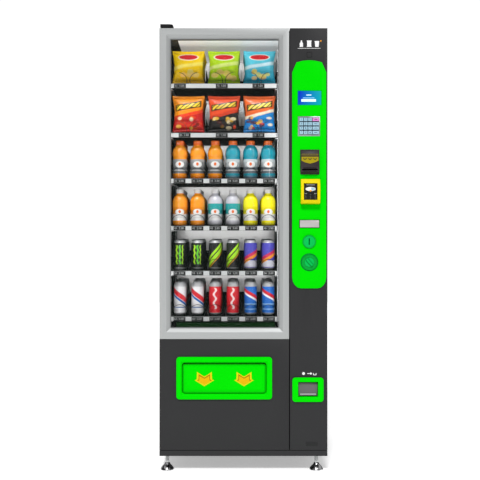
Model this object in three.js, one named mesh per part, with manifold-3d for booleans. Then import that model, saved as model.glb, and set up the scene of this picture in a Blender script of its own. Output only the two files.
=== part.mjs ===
// Glass-front snack vending machine, in millimetres. +Z is up and -Y is the front.
// The origin is on the floor, at the middle of the machine's width and overall depth.
import * as THREE from 'three';
import { mergeVertices } from 'three/addons/utils/BufferGeometryUtils.js';
import Module from 'manifold-3d';

const wasm = await Module();
wasm.setup();

// ---------- driving dimensions ----------
const WIDTH = 735;
const CABINET_TOP = 1940;
const BODY_DEPTH = 735;            // front face of the door to the back cover
const FRONT_REACH = 45;            // how far the card reader stands in front of that face
const GAP = 0.3;                   // between pieces that touch
const FRONT = FRONT_REACH - (BODY_DEPTH + FRONT_REACH) / 2;
const LEFT = -WIDTH / 2;
const RIGHT = WIDTH / 2;

const FOOT_TOP = 68;
const PLINTH_TOP = 91.6;
const CABINET_BASE = 92;
const DOOR_BASE = 94;

const DOOR_RIGHT = 199.5;
const COLUMN_LEFT = 203.5;
const FRAME_BASE = 580;
const WINDOW = { left: -320, right: 155, base: 628, top: 1894 };
const FRAME_DEPTH = 38;
const SHELL_BACK = 58;
const GASKET_BACK = 68;
const GLASS_BACK = 22;
const CABINET_FRONT = 70;
const COLUMN_BACK = 45;
const COLUMN_SEAT = 50.5;          // the cabinet's front edge behind the column door

const ROOM = { left: -333.5, right: 168, base: 300, top: 1900, back: 695 };
const COLUMN_ROOM_LEFT = 200;
const DECK_BASE = 262;

const MAIN_HINGE = { x: -355, depth: 15 };
const COLUMN_HINGE = { x: 355, depth: 30 };
const PIN_RADIUS = 5;
const PIN_CLEARANCE = 0.5;

const FOOT = { left: -336, right: 322, front: 45, rear: 690, bell: 30.5, stem: 8 };

const TRAY_TOPS = [1718, 1495, 1288, 1074, 871, 664];   // top of each price rail
const RAIL_HEIGHT = 21;
const TRAY = { left: -329, right: 153, front: 150, back: 645, wall: 85, rear: 100 };
const SHEET = 1.5;
const LANE_PITCH = 81;
const LANE_COUNT = 6;
const FIRST_LANE = -290.5;

const COIL = { radius: 34, wire: 1.25, pitch: 70, turns: 6.5, tip: 162, axisHeight: 38.5 };
const BAG = { width: 147, height: 150, seat: 26.5, neck: 46, slab: 22, bulge: 50 };

const CUP_BEZEL = { left: 214, right: 350, base: 306, top: 412 };

// ---------- materials ----------
function paint(color, roughness, metalness) {
  return new THREE.MeshStandardMaterial({ color, roughness, metalness });
}

const MATERIALS = {
  charcoal: paint(0x383838, 0.55, 0.2),
  black: paint(0x141414, 0.6, 0.2),
  silver: paint(0xafafaf, 0.4, 0.5),
  green: paint(0x12e012, 0.45, 0.0),
  deepGreen: paint(0x00a850, 0.35, 0.3),
  galvanised: paint(0xa8acb0, 0.5, 0.8),
  chrome: paint(0xd8d8d8, 0.15, 1.0),
  rubber: paint(0x1a1a1a, 0.9, 0.0),
  glass: paint(0xcfe3e6, 0.05, 0.0),
  blue: paint(0x1d5fd0, 0.2, 0.0),
  yellow: paint(0xf2c715, 0.45, 0.0),
  greyPlastic: paint(0x626061, 0.6, 0.0),
  steelKey: paint(0xb9c2cb, 0.4, 0.3),
  pinkKey: paint(0xd86fa6, 0.4, 0.0),
  wire: paint(0x202020, 0.35, 0.7),
  film: paint(0xf0c21d, 0.35, 0.0),
};

// ---------- solids ----------
function solid(geometry) {
  const bare = geometry.index ? geometry.toNonIndexed() : geometry.clone();
  for (const name of Object.keys(bare.attributes)) {
    if (name !== 'position') bare.deleteAttribute(name);
  }
  const merged = mergeVertices(bare, 1e-4);
  return new wasm.Manifold(new wasm.Mesh({
    numProp: 3,
    vertProperties: new Float32Array(merged.attributes.position.array),
    triVerts: new Uint32Array(merged.index.array),
  }));
}

// A block between two corners. Depths count back from the machine's front face.
function block(left, right, nearDepth, farDepth, base, top) {
  const geometry = new THREE.BoxGeometry(right - left, farDepth - nearDepth, top - base);
  geometry.translate((left + right) / 2, FRONT + (nearDepth + farDepth) / 2, (base + top) / 2);
  return solid(geometry);
}

// A front-view outline, extruded backwards from one depth to another.
function plate(outline, nearDepth, farDepth) {
  const geometry = new THREE.ExtrudeGeometry(outline, {
    depth: farDepth - nearDepth,
    bevelEnabled: false,
    curveSegments: 4,
  });
  geometry.rotateX(Math.PI / 2);
  geometry.translate(0, FRONT + farDepth, 0);
  return solid(geometry);
}

// A side-view outline of [depth, height] points, extruded from left to right.
function sideProfile(points, left, right) {
  const outline = new THREE.Shape(points.map(([depth, height]) => new THREE.Vector2(FRONT + depth, height)));
  const geometry = new THREE.ExtrudeGeometry(outline, { depth: right - left, bevelEnabled: false });
  geometry.applyMatrix4(new THREE.Matrix4().set(
    0, 0, 1, left,
    1, 0, 0, 0,
    0, 1, 0, 0,
    0, 0, 0, 1,
  ));
  return solid(geometry);
}

// A front-view rectangle with round corners.
function roundRect(left, right, base, top, radius) {
  const shape = new THREE.Shape();
  shape.moveTo(left + radius, base);
  shape.lineTo(right - radius, base);
  shape.absarc(right - radius, base + radius, radius, -Math.PI / 2, 0);
  shape.lineTo(right, top - radius);
  shape.absarc(right - radius, top - radius, radius, 0, Math.PI / 2);
  shape.lineTo(left + radius, top);
  shape.absarc(left + radius, top - radius, radius, Math.PI / 2, Math.PI);
  shape.lineTo(left, base + radius);
  shape.absarc(left + radius, base + radius, radius, Math.PI, Math.PI * 1.5);
  return shape;
}

// A pin or hole that stands upright.
function post(x, depth, base, top, radius, sides = 16) {
  const geometry = new THREE.CylinderGeometry(radius, radius, top - base, sides);
  geometry.rotateX(Math.PI / 2);
  geometry.translate(x, FRONT + depth, (base + top) / 2);
  return solid(geometry);
}

// A disc or hole that faces the front.
function dial(x, z, nearDepth, farDepth, radius, sides = 32) {
  const geometry = new THREE.CylinderGeometry(radius, radius, farDepth - nearDepth, sides);
  geometry.translate(x, FRONT + (nearDepth + farDepth) / 2, z);
  return solid(geometry);
}

// Four-sided frustum between two front-view rectangles, for the sloping inner edge of a frame.
function taper(near, nearDepth, far, farDepth) {
  const corners = [[near, nearDepth], [far, farDepth]].flatMap(([r, depth]) => [
    [r.left, FRONT + depth, r.base],
    [r.right, FRONT + depth, r.base],
    [r.right, FRONT + depth, r.top],
    [r.left, FRONT + depth, r.top],
  ]);
  const faces = [
    0, 1, 2, 0, 2, 3, 4, 6, 5, 4, 7, 6, 0, 5, 1, 0, 4, 5,
    1, 6, 2, 1, 5, 6, 2, 7, 3, 2, 6, 7, 3, 4, 0, 3, 7, 4,
  ];
  const geometry = new THREE.BufferGeometry();
  geometry.setAttribute('position', new THREE.Float32BufferAttribute(corners.flat(), 3));
  geometry.setIndex(faces);
  return solid(geometry);
}

function grown(rect, margin) {
  return {
    left: rect.left - margin,
    right: rect.right + margin,
    base: rect.base - margin,
    top: rect.top + margin,
  };
}

function rectBlock(rect, nearDepth, farDepth) {
  return block(rect.left, rect.right, nearDepth, farDepth, rect.base, rect.top);
}

function joined(solids) {
  return solids.reduce((all, one) => all.add(one));
}

function without(body, cuts) {
  return cuts.reduce((left, cut) => left.subtract(cut), body);
}

const machine = new THREE.Group();

function add(name, material, body) {
  const mesh = body.getMesh();
  const geometry = new THREE.BufferGeometry();
  geometry.setAttribute('position', new THREE.Float32BufferAttribute(mesh.vertProperties, 3));
  geometry.setIndex(new THREE.Uint32BufferAttribute(mesh.triVerts, 1));
  geometry.computeVertexNormals();
  const part = new THREE.Mesh(geometry, MATERIALS[material].clone());
  part.name = name;
  machine.add(part);
}

// ---------- cabinet ----------
function cabinetShell() {
  const back = BODY_DEPTH - 5;
  const rim = CABINET_FRONT + 6;
  const tongue = { left: 343, right: 365 };
  const skin = block(LEFT, RIGHT, CABINET_FRONT, back, CABINET_BASE, CABINET_TOP)
    .subtract(block(LEFT + SHEET, RIGHT - SHEET, rim, back + 1, CABINET_BASE + SHEET, CABINET_TOP - SHEET));
  const body = joined([
    skin,
    rectBlock(grown(ROOM, SHEET), CABINET_FRONT, ROOM.back + SHEET),
    block(COLUMN_ROOM_LEFT - SHEET, COLUMN_ROOM_LEFT, CABINET_FRONT, back, DECK_BASE - 1, CABINET_TOP - 1),
    block(LEFT + 1, RIGHT - 1, rim - 1, back, DECK_BASE - SHEET, DECK_BASE),
    block(COLUMN_LEFT, RIGHT, COLUMN_SEAT, CABINET_FRONT + 1, CABINET_BASE, CABINET_TOP),
    block(tongue.left, tongue.right, 20, 110, CABINET_TOP + 0.6, CABINET_TOP + 3.6),
    block(tongue.left, tongue.right, rim, 110, CABINET_TOP - 1, CABINET_TOP + 1),
    post(COLUMN_HINGE.x, COLUMN_HINGE.depth, CABINET_TOP - 9, CABINET_TOP + 2, PIN_RADIUS),
  ]);
  return without(body, [
    rectBlock(ROOM, CABINET_FRONT - 1, ROOM.back),
    block(COLUMN_LEFT + 5, RIGHT - 4, COLUMN_SEAT - 1, rim + 1, 104, CABINET_TOP - 6),
    block(-355, 190, CABINET_FRONT - 1, rim + 1, 104, DECK_BASE - 4),
  ]);
}

function rearAirPanel() {
  const cover = block(LEFT, RIGHT, BODY_DEPTH - 5 + GAP, BODY_DEPTH, CABINET_BASE, CABINET_TOP);
  const slots = [block(LEFT + 12, RIGHT - 12, BODY_DEPTH - 6, BODY_DEPTH - 1.5, CABINET_BASE + 12, CABINET_TOP - 12)];
  for (let row = 0; row < 8; row += 1) {
    const z = 122 + row * 16;
    slots.push(block(-290, 290, BODY_DEPTH - 6, BODY_DEPTH + 1, z, z + 7));
  }
  return without(cover, slots);
}

function plinth() {
  const flange = 5;
  const frame = block(LEFT, RIGHT, 0, BODY_DEPTH - 5, FOOT_TOP, PLINTH_TOP);
  const hollow = block(LEFT + flange, RIGHT - flange, flange, BODY_DEPTH - 5 - flange, FOOT_TOP - 1, PLINTH_TOP - 4);
  return joined([
    frame.subtract(hollow),
    post(MAIN_HINGE.x, MAIN_HINGE.depth, PLINTH_TOP - 2, PLINTH_TOP + 18, PIN_RADIUS),
    post(COLUMN_HINGE.x, COLUMN_HINGE.depth, PLINTH_TOP - 2, PLINTH_TOP + 18, PIN_RADIUS),
  ]);
}

function foot(x, depth) {
  const profile = [
    [0, 0], [FOOT.bell, 0], [FOOT.bell, 4], [28, 9], [21, 17], [14.5, 23], [12, 29],
    [FOOT.stem, 31], [FOOT.stem, PLINTH_TOP - 4 - GAP], [0, PLINTH_TOP - 4 - GAP],
  ].map(([radius, height]) => new THREE.Vector2(radius, height));
  const geometry = new THREE.LatheGeometry(profile, 24);
  geometry.rotateX(Math.PI / 2);
  geometry.translate(x, FRONT + depth, 0);
  return solid(geometry);
}

function deliveryBin() {
  const near = CABINET_FRONT + 4;
  const floor = ROOM.base + 18;
  const left = -300;
  const right = 135;
  const side = [[near, ROOM.base + GAP], [150, ROOM.base + GAP], [260, 588], [260, 606], [near, 606]];
  const pan = [
    [near, floor], [150, floor], [256, 588], [256, 606],
    [260, 606], [260, 587], [152, floor - 4], [near, floor - 4],
  ];
  return joined([
    sideProfile(side, left, left + 3),
    sideProfile(side, right - 3, right),
    sideProfile(pan, left + 1, right - 1),
  ]);
}

function coolingUnit() {
  const base = CABINET_BASE + SHEET + GAP;
  const condenser = block(-200, 160, 560, 640, base + 5, 248);
  const fins = [];
  for (let fin = 0; fin < 11; fin += 1) {
    const x = -184 + fin * 31;
    fins.push(block(x, x + 14, 555, 575, base + 15, 240));
  }
  return joined([
    block(-320, 170, 180, 680, base, base + 6),
    post(-190, 360, base + 5, 235, 78, 24),
    post(90, 340, base + 5, 190, 45, 16),
    without(condenser, fins),
  ]);
}

function topHingeBracket() {
  const arm = { left: -364, right: -310 };
  const base = CABINET_TOP + 4;
  return joined([
    block(arm.left, arm.right - 18, 2, 150, base, base + 14),
    post(arm.right - 18, 20, base, base + 14, 18, 24),
    block(arm.left, arm.right, 20, 150, base, base + 14),
    block(arm.left, arm.right, CABINET_FRONT + 5, 150, CABINET_TOP + GAP, base + 1),
    post(MAIN_HINGE.x, MAIN_HINGE.depth, CABINET_TOP - 16, base + 1, PIN_RADIUS),
  ]);
}

// Uprights and ledges on one side of the product room. side is -1 on the left and 1 on the right.
function trayRails(side) {
  const wall = side < 0 ? ROOM.left + GAP : ROOM.right - GAP;
  const upright = side < 0 ? 3.5 : 13;
  const ledge = side < 0 ? 12 : 24;
  const across = (reach) => (side < 0 ? [wall, wall + reach] : [wall - reach, wall]);
  const pieces = [];
  for (const depth of [190, 560]) {
    pieces.push(block(...across(upright), depth, depth + 30, 620, 1880));
  }
  for (const top of TRAY_TOPS) {
    const z = top - RAIL_HEIGHT - GAP;
    pieces.push(block(...across(ledge), 172, 640, z - 4, z));
  }
  return joined(pieces);
}

// ---------- main door ----------
function doorFrame() {
  const outer = block(LEFT, DOOR_RIGHT, 0, FRAME_DEPTH, FRAME_BASE, CABINET_TOP);
  const slope = 18;
  const glassSeat = grown(WINDOW, 12.3);
  return without(outer, [
    rectBlock(WINDOW, -1, FRAME_DEPTH + 1),
    taper(grown(WINDOW, slope * 14 / 13), -1, WINDOW, 13),
    rectBlock(glassSeat, 13.7, FRAME_DEPTH + 1),
    block(LEFT + 4, WINDOW.left - 17, 4, FRAME_DEPTH + 1, 630, 1880),
    block(WINDOW.right + 17, DOOR_RIGHT - 4, 4, FRAME_DEPTH + 1, 630, 1880),
    block(WINDOW.left, WINDOW.right, 4, FRAME_DEPTH + 1, FRAME_BASE + 5, WINDOW.base - 17),
    block(WINDOW.left, WINDOW.right, 4, FRAME_DEPTH + 1, WINDOW.top + 17, CABINET_TOP - 4),
    post(MAIN_HINGE.x, MAIN_HINGE.depth, CABINET_TOP - 18, CABINET_TOP + 1, PIN_RADIUS + PIN_CLEARANCE),
  ]);
}

function doorShell() {
  const ring = block(LEFT, DOOR_RIGHT, FRAME_DEPTH + GAP, SHELL_BACK, DOOR_BASE, CABINET_TOP);
  const panel = block(LEFT, DOOR_RIGHT, 0, FRAME_DEPTH + 1, DOOR_BASE, FRAME_BASE - 0.5);
  const clamp = rectBlock(grown(WINDOW, 11.8), GLASS_BACK + GAP, FRAME_DEPTH + 1);
  const hollowLow = { left: LEFT + 25, right: DOOR_RIGHT - 12, base: DOOR_BASE + 12, top: 314 };
  return without(joined([ring, panel, clamp]), [
    rectBlock(grown(WINDOW, 2), GLASS_BACK - 1, SHELL_BACK + 1),
    block(LEFT + 3, WINDOW.left - 15, FRAME_DEPTH - 1, SHELL_BACK - 2, 600, 1900),
    block(WINDOW.right + 15, DOOR_RIGHT - 3, FRAME_DEPTH - 1, SHELL_BACK - 2, 600, 1900),
    block(WINDOW.left, WINDOW.right, FRAME_DEPTH - 1, SHELL_BACK - 2, WINDOW.top + 15, CABINET_TOP - 3),
    block(-284, 117, -1, SHELL_BACK + 1, 322, 491),
    rectBlock(hollowLow, 3, SHELL_BACK + 1),
    block(-342, -290, 3, SHELL_BACK + 1, 322, 560),
    block(123, 187, 3, SHELL_BACK + 1, 322, 560),
    block(-284, 117, 3, SHELL_BACK + 1, 499, 560),
    post(MAIN_HINGE.x, MAIN_HINGE.depth, DOOR_BASE - 1, PLINTH_TOP + 20, PIN_RADIUS + PIN_CLEARANCE),
  ]);
}

function doorGasket() {
  const outer = { left: -352, right: 192, base: 268, top: 1926 };
  const body = rectBlock(outer, SHELL_BACK + GAP, GASKET_BACK);
  return body.subtract(rectBlock(grown(outer, -12), SHELL_BACK - 1, GASKET_BACK + 1));
}

const BEZEL = { left: -293, right: 125, base: 317, top: 502 };
const FLAP = { left: -267, right: 99, base: 342, top: 475, corner: 12 };

function deliveryBezel() {
  const mouth = { left: FLAP.left - 2, right: FLAP.right + 2, base: FLAP.base - 2, top: FLAP.top + 2 };
  const flange = plate(roundRect(BEZEL.left, BEZEL.right, BEZEL.base, BEZEL.top, 14), -8, -GAP);
  const neck = block(-283.5, 116.5, -1, 36, 322.5, 490.5);
  return without(joined([flange, neck]), [
    plate(roundRect(mouth.left, mouth.right, mouth.base, mouth.top, FLAP.corner + 2), -10, 40),
    taper(grown(mouth, 6), -9, grown(mouth, -6), 3),
  ]);
}

function deliveryFlap() {
  const front = 6;
  const leaf = plate(roundRect(FLAP.left, FLAP.right, FLAP.base, FLAP.top - 4, FLAP.corner), front, front + 5);
  const ribs = [-250, -90, 70].map((x) => block(x, x + 8, front + 4, front + 12, FLAP.base + 6, FLAP.top - 8));
  const rail = block(FLAP.left + 14, FLAP.right - 14, front + 4, front + 14, FLAP.top - 16, FLAP.top - 4);
  return joined([leaf, rail, ...ribs]);
}

// ---------- column door ----------
const RECESS = {
  display: { left: 236, right: 342, base: 1602, top: 1667 },
  keypad: { left: 238, right: 335, base: 1467, top: 1554 },
  bill: { left: 248, right: 332, base: 1300, top: 1408 },
  reader: { left: 250, right: 333, base: 1170, top: 1279 },
  returnBar: { left: 244, right: 333, base: 1066, top: 1102 },
};
const COIN_SLOT = { x: 287.4, z: 1006, radius: 28.5 };
const LOCK = { x: 288, z: 916, radius: 35 };
const CUP_MOUTH = { left: 239, right: 326, base: 328, top: 393 };

function fasciaOutline() {
  const shape = new THREE.Shape();
  shape.moveTo(250, 802);
  shape.lineTo(325, 802);
  shape.bezierCurveTo(343, 802, 362, 824, 362, 849);
  shape.lineTo(362, 1746);
  shape.lineTo(343, 1790);
  shape.quadraticCurveTo(287.5, 1808, 232, 1790);
  shape.lineTo(213, 1746);
  shape.lineTo(213, 849);
  shape.bezierCurveTo(213, 824, 232, 802, 250, 802);
  return shape;
}

function columnFascia() {
  const body = plate(fasciaOutline(), -6, -GAP);
  return without(body, [
    ...Object.values(RECESS).map((rect) => rectBlock(grown(rect, 0.4), -8, 2)),
    dial(COIN_SLOT.x, COIN_SLOT.z, -8, 2, COIN_SLOT.radius + 0.5),
    dial(LOCK.x, LOCK.z, -8, 2, LOCK.radius + 0.6),
  ]);
}

function columnPanel() {
  const skin = block(COLUMN_LEFT, RIGHT, 0, COLUMN_BACK, DOOR_BASE, CABINET_TOP);
  return without(skin, [
    block(COLUMN_LEFT + 3, RIGHT - 3, 3, COLUMN_BACK + 1, DOOR_BASE + 8, CABINET_TOP - 6),
    ...Object.values(RECESS).map((rect) => rectBlock(grown(rect, -2), -1, 4)),
    dial(COIN_SLOT.x, COIN_SLOT.z, -1, 4, COIN_SLOT.radius - 6),
    dial(LOCK.x, LOCK.z, -1, 4, 12),
    block(CUP_MOUTH.left - 7.5, CUP_MOUTH.right + 7.5, -1, 4, CUP_MOUTH.base - 7.5, CUP_MOUTH.top + 7.5),
    post(COLUMN_HINGE.x, COLUMN_HINGE.depth, CABINET_TOP - 12, CABINET_TOP + 1, PIN_RADIUS + PIN_CLEARANCE),
    post(COLUMN_HINGE.x, COLUMN_HINGE.depth, DOOR_BASE - 1, DOOR_BASE + 20, PIN_RADIUS + PIN_CLEARANCE),
  ]);
}

function display() {
  const rect = RECESS.display;
  return joined([
    rectBlock(rect, -4, -GAP),
    rectBlock(grown(rect, -3), -1, 22),
  ]);
}

const KEY = { rows: 4, columns: 4, travel: 2 };
const KEY_COLUMNS = [[245, 261], [264, 280], [283, 299], [302, 330]];
const KEY_ROWS = [[1533, 1547], [1514, 1528], [1495, 1509], [1476, 1490]];

function keypadBody() {
  const rect = RECESS.keypad;
  const wells = KEY_ROWS.flatMap(([base, top]) => KEY_COLUMNS.map(([left, right]) => (
    block(left - 0.6, right + 0.6, -8, 4, base - 0.6, top + 0.6)
  )));
  return without(joined([
    rectBlock(rect, -5, -GAP),
    rectBlock(grown(rect, -3), -1, 14),
  ]), wells);
}

function key(row, column) {
  const [left, right] = KEY_COLUMNS[column];
  const [base, top] = KEY_ROWS[row];
  return joined([
    block(left, right, -8.5, 0, base, top),
    block(left + 4, right - 4, -1, 1.5, base + 3, top - 3),
  ]);
}

function billAcceptor() {
  const rect = RECESS.bill;
  const mouth = block(rect.left + 12, rect.right - 12, -25, -4, 1312, 1330);
  const slot = block(rect.left + 8, rect.right - 8, -40, 60, 1317, 1323);
  const nose = sideProfile([
    [-1, rect.base + 4], [-20, 1309], [-24, 1334], [-12, rect.top - 8], [-1, rect.top - 4],
  ], rect.left + 3, rect.right - 3);
  return without(joined([
    rectBlock(rect, -7, -GAP),
    nose,
    mouth,
    rectBlock(grown(rect, -3), -1, 85),
  ]), [slot]);
}

function cardReader() {
  const rect = RECESS.reader;
  const hood = sideProfile([
    [-GAP, rect.base], [-34, rect.base + 4], [-FRONT_REACH, rect.base + 20], [-FRONT_REACH, rect.top - 28],
    [-26, rect.top], [-GAP, rect.top],
  ], rect.left, rect.right);
  const window = block(rect.left + 12, rect.right - 12, -60, -30, rect.base + 18, rect.top - 19);
  return joined([hood.subtract(window), rectBlock(grown(rect, -3), -1, 38)]);
}

function coinReturnBar() {
  const rect = RECESS.returnBar;
  return joined([
    rectBlock(grown(rect, -2.5), -10, -5),
    rectBlock(grown(rect, -6), -6, 14),
  ]);
}

function coinSlotDisc() {
  const { x, z, radius } = COIN_SLOT;
  return without(joined([
    dial(x, z, -9, -GAP, radius),
    dial(x, z, -1, 60, radius - 8),
  ]), [
    block(x - 2, x + 2, -10, 61, z - 14.5, z + 14.5),
  ]);
}

function lockHandle() {
  const { x, z, radius } = LOCK;
  const bar = new THREE.BoxGeometry(9, 8, 36);
  bar.rotateY(-Math.PI / 4.5);
  bar.translate(x, FRONT - 14, z);
  return joined([
    dial(x, z, -9, -GAP, radius),
    dial(x, z, -12, -8, 20),
    solid(bar),
    dial(x, z, -5, 26, 11, 24),
    block(x - 8, x + 8, 20, 25, z - 8, z + 34),
  ]);
}

const CUP_FLAP = { left: 241, right: 324, base: 331, top: 389 };

function coinCup() {
  const neck = grown(CUP_MOUTH, 7);
  const bezel = plate(roundRect(CUP_BEZEL.left, CUP_BEZEL.right, CUP_BEZEL.base, CUP_BEZEL.top, 13), -8, -GAP);
  const cup = rectBlock(neck, -1, 84);
  const hollow = sideProfile([
    [-10, CUP_MOUTH.base], [60, CUP_MOUTH.base], [80, CUP_MOUTH.base + 16],
    [80, CUP_MOUTH.top], [-10, CUP_MOUTH.top],
  ], CUP_MOUTH.left, CUP_MOUTH.right);
  const chute = block(272, 302, 62, 82, CUP_MOUTH.top - 2, CUP_MOUTH.top + 8);
  return without(joined([bezel, cup]), [hollow, chute]);
}

function coinCupFlap() {
  const { left, right, base, top } = CUP_FLAP;
  return joined([
    block(left, right, 4, 8, base, top),
    block(left, right, 7, 14, top - 10, top),
    block(left + 6, right - 6, 1, 5, base + 4, base + 12),
  ]);
}

// ---------- trays, coils and bags ----------
function tray(top, laneStep) {
  const floor = top - RAIL_HEIGHT;
  const pieces = [
    block(TRAY.left, TRAY.right, TRAY.front, TRAY.back, floor, floor + SHEET),
    block(TRAY.left, TRAY.right, TRAY.front, TRAY.front + 4, floor, top),
    block(TRAY.left, TRAY.right, TRAY.back - SHEET, TRAY.back, floor, floor + TRAY.rear),
    block(TRAY.left, TRAY.left + SHEET, TRAY.front + 10, TRAY.back, floor, floor + TRAY.wall),
    block(TRAY.right - SHEET, TRAY.right, TRAY.front + 10, TRAY.back, floor, floor + TRAY.wall),
  ];
  for (let lane = laneStep; lane < LANE_COUNT; lane += laneStep) {
    const x = FIRST_LANE + (lane - 0.5) * LANE_PITCH;
    pieces.push(block(x - 0.75, x + 0.75, TRAY.front + 14, TRAY.back, floor, floor + TRAY.wall));
  }
  if (laneStep === 2) {
    for (let lane = 1; lane < LANE_COUNT; lane += 2) {
      const x = FIRST_LANE + (lane - 0.5) * LANE_PITCH;
      pieces.push(block(x - 2.5, x + 2.5, TRAY.front + 8, TRAY.back, floor, floor + BAG.seat - GAP));
    }
  }
  return joined(pieces);
}

// A coil's wire leaves its tip at the top and runs back. hand is 1 when it starts towards +X.
class CoilWire extends THREE.Curve {
  constructor(x, z, hand) {
    super();
    this.centre = { x, z };
    this.hand = hand;
  }

  getPoint(t, target = new THREE.Vector3()) {
    const angle = Math.PI / 2 - 2 * Math.PI * COIL.turns * t;
    return target.set(
      this.centre.x + this.hand * COIL.radius * Math.cos(angle),
      FRONT + COIL.tip + COIL.pitch * COIL.turns * t,
      this.centre.z + COIL.radius * Math.sin(angle),
    );
  }
}

function coil(x, z, hand) {
  const section = new THREE.Shape();
  const sides = 5;
  for (let side = 0; side < sides; side += 1) {
    const angle = side * 2 * Math.PI / sides;
    const point = [COIL.wire * Math.cos(angle), COIL.wire * Math.sin(angle)];
    if (side === 0) section.moveTo(...point);
    else section.lineTo(...point);
  }
  const wire = new THREE.ExtrudeGeometry(section, {
    steps: Math.round(COIL.turns * 12),
    extrudePath: new CoilWire(x, z, hand),
    bevelEnabled: false,
  });
  const end = COIL.tip + COIL.pitch * COIL.turns;
  return joined([
    solid(wire),
    block(x - 1.2, x + 1.2, end - 2.4, end, z - COIL.radius - 0.8, z),
    dial(x, z, end - 5, TRAY.back - SHEET - 0.5, 9, 12),
  ]);
}

function bag(x, seatZ) {
  const half = BAG.width / 2;
  const middle = COIL.tip + COIL.pitch / 2;
  const shoulder = seatZ + BAG.neck;
  const outline = [
    [middle - BAG.slab / 2, seatZ], [middle + BAG.slab / 2, seatZ],
    [middle + BAG.slab / 2, shoulder], [middle + BAG.bulge / 2, shoulder + 22],
    [middle + BAG.bulge / 2, seatZ + BAG.height - 34], [middle + 2, seatZ + BAG.height],
    [middle - 2, seatZ + BAG.height], [middle - BAG.bulge / 2, seatZ + BAG.height - 34],
    [middle - BAG.bulge / 2, shoulder + 22], [middle - BAG.slab / 2, shoulder],
  ];
  return sideProfile(outline, x - half, x + half);
}

// ---------- assembly ----------
add('cabinet_shell', 'charcoal', cabinetShell());
add('rear_air_panel', 'charcoal', rearAirPanel());
add('plinth', 'charcoal', plinth());
add('foot_front_left', 'chrome', foot(FOOT.left, FOOT.front));
add('foot_front_right', 'chrome', foot(FOOT.right, FOOT.front));
add('foot_rear_left', 'chrome', foot(FOOT.left, FOOT.rear));
add('foot_rear_right', 'chrome', foot(FOOT.right, FOOT.rear));
add('delivery_bin', 'black', deliveryBin());
add('cooling_unit', 'galvanised', coolingUnit());
add('top_hinge_bracket', 'black', topHingeBracket());
add('tray_rails_left', 'galvanised', trayRails(-1));
add('tray_rails_right', 'galvanised', trayRails(1));

add('door_frame', 'silver', doorFrame());
add('door_glass', 'glass', rectBlock(grown(WINDOW, 12), 14, GLASS_BACK));
add('door_shell', 'charcoal', doorShell());
add('door_gasket', 'rubber', doorGasket());
add('delivery_bezel', 'green', deliveryBezel());
add('delivery_flap', 'green', deliveryFlap());

add('column_panel', 'charcoal', columnPanel());
add('column_fascia', 'green', columnFascia());
add('display', 'blue', display());
add('keypad_body', 'silver', keypadBody());
add('bill_acceptor', 'charcoal', billAcceptor());
add('card_reader', 'yellow', cardReader());
add('coin_return_bar', 'silver', coinReturnBar());
add('coin_slot_disc', 'deepGreen', coinSlotDisc());
add('lock_handle', 'deepGreen', lockHandle());
add('coin_cup', 'green', coinCup());
add('coin_cup_flap', 'greyPlastic', coinCupFlap());

TRAY_TOPS.forEach((top, index) => {
  add(`tray_${index + 1}`, 'black', tray(top, index < 2 ? 2 : 1));
});

const coilZ = TRAY_TOPS[0] - RAIL_HEIGHT + COIL.axisHeight;
for (let lane = 0; lane < LANE_COUNT; lane += 1) {
  const hand = lane % 2 === 0 ? 1 : -1;
  add(`coil_${lane + 1}`, 'wire', coil(FIRST_LANE + lane * LANE_PITCH, coilZ, hand));
}
for (let pair = 0; pair < LANE_COUNT / 2; pair += 1) {
  const x = FIRST_LANE + (2 * pair + 0.5) * LANE_PITCH;
  add(`snack_bag_${pair + 1}`, 'film', bag(x, TRAY_TOPS[0] - RAIL_HEIGHT + BAG.seat));
}

for (let row = 0; row < KEY.rows; row += 1) {
  for (let column = 0; column < KEY.columns; column += 1) {
    const material = row === 0 && column === KEY.columns - 1 ? 'pinkKey' : 'steelKey';
    add(`key_${row + 1}_${column + 1}`, material, key(row, column));
  }
}

export default machine;
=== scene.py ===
import math
import random

import bmesh
import bpy
from mathutils import Matrix, Vector


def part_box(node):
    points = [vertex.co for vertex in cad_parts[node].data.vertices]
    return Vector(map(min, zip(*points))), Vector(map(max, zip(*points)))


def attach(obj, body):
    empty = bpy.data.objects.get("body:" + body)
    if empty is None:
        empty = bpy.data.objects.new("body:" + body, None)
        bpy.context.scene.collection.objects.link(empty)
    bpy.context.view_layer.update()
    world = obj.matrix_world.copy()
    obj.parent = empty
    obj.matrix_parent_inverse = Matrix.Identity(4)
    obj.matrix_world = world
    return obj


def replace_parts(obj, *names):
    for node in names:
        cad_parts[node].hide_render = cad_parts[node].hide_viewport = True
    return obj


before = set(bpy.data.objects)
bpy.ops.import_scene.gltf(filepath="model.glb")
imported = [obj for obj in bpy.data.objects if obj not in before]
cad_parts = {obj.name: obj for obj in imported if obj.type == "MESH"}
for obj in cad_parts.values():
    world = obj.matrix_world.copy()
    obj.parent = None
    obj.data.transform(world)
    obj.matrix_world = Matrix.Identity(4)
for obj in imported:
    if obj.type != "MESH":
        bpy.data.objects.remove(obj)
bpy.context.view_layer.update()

MM = 0.001


# ---------- places, from the frame: in mm, except where a name says metres ----------
def box_in_metres(node):
    low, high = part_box(node)
    return Vector(low), Vector(high)


def box(node):
    low, high = box_in_metres(node)
    return low / MM, high / MM


def middle(node):
    low, high = box(node)
    return (low + high) / 2


def at(x, y, z):
    """A place given in mm, in the scene's metres."""
    return Vector((x, y, z)) * MM


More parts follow.
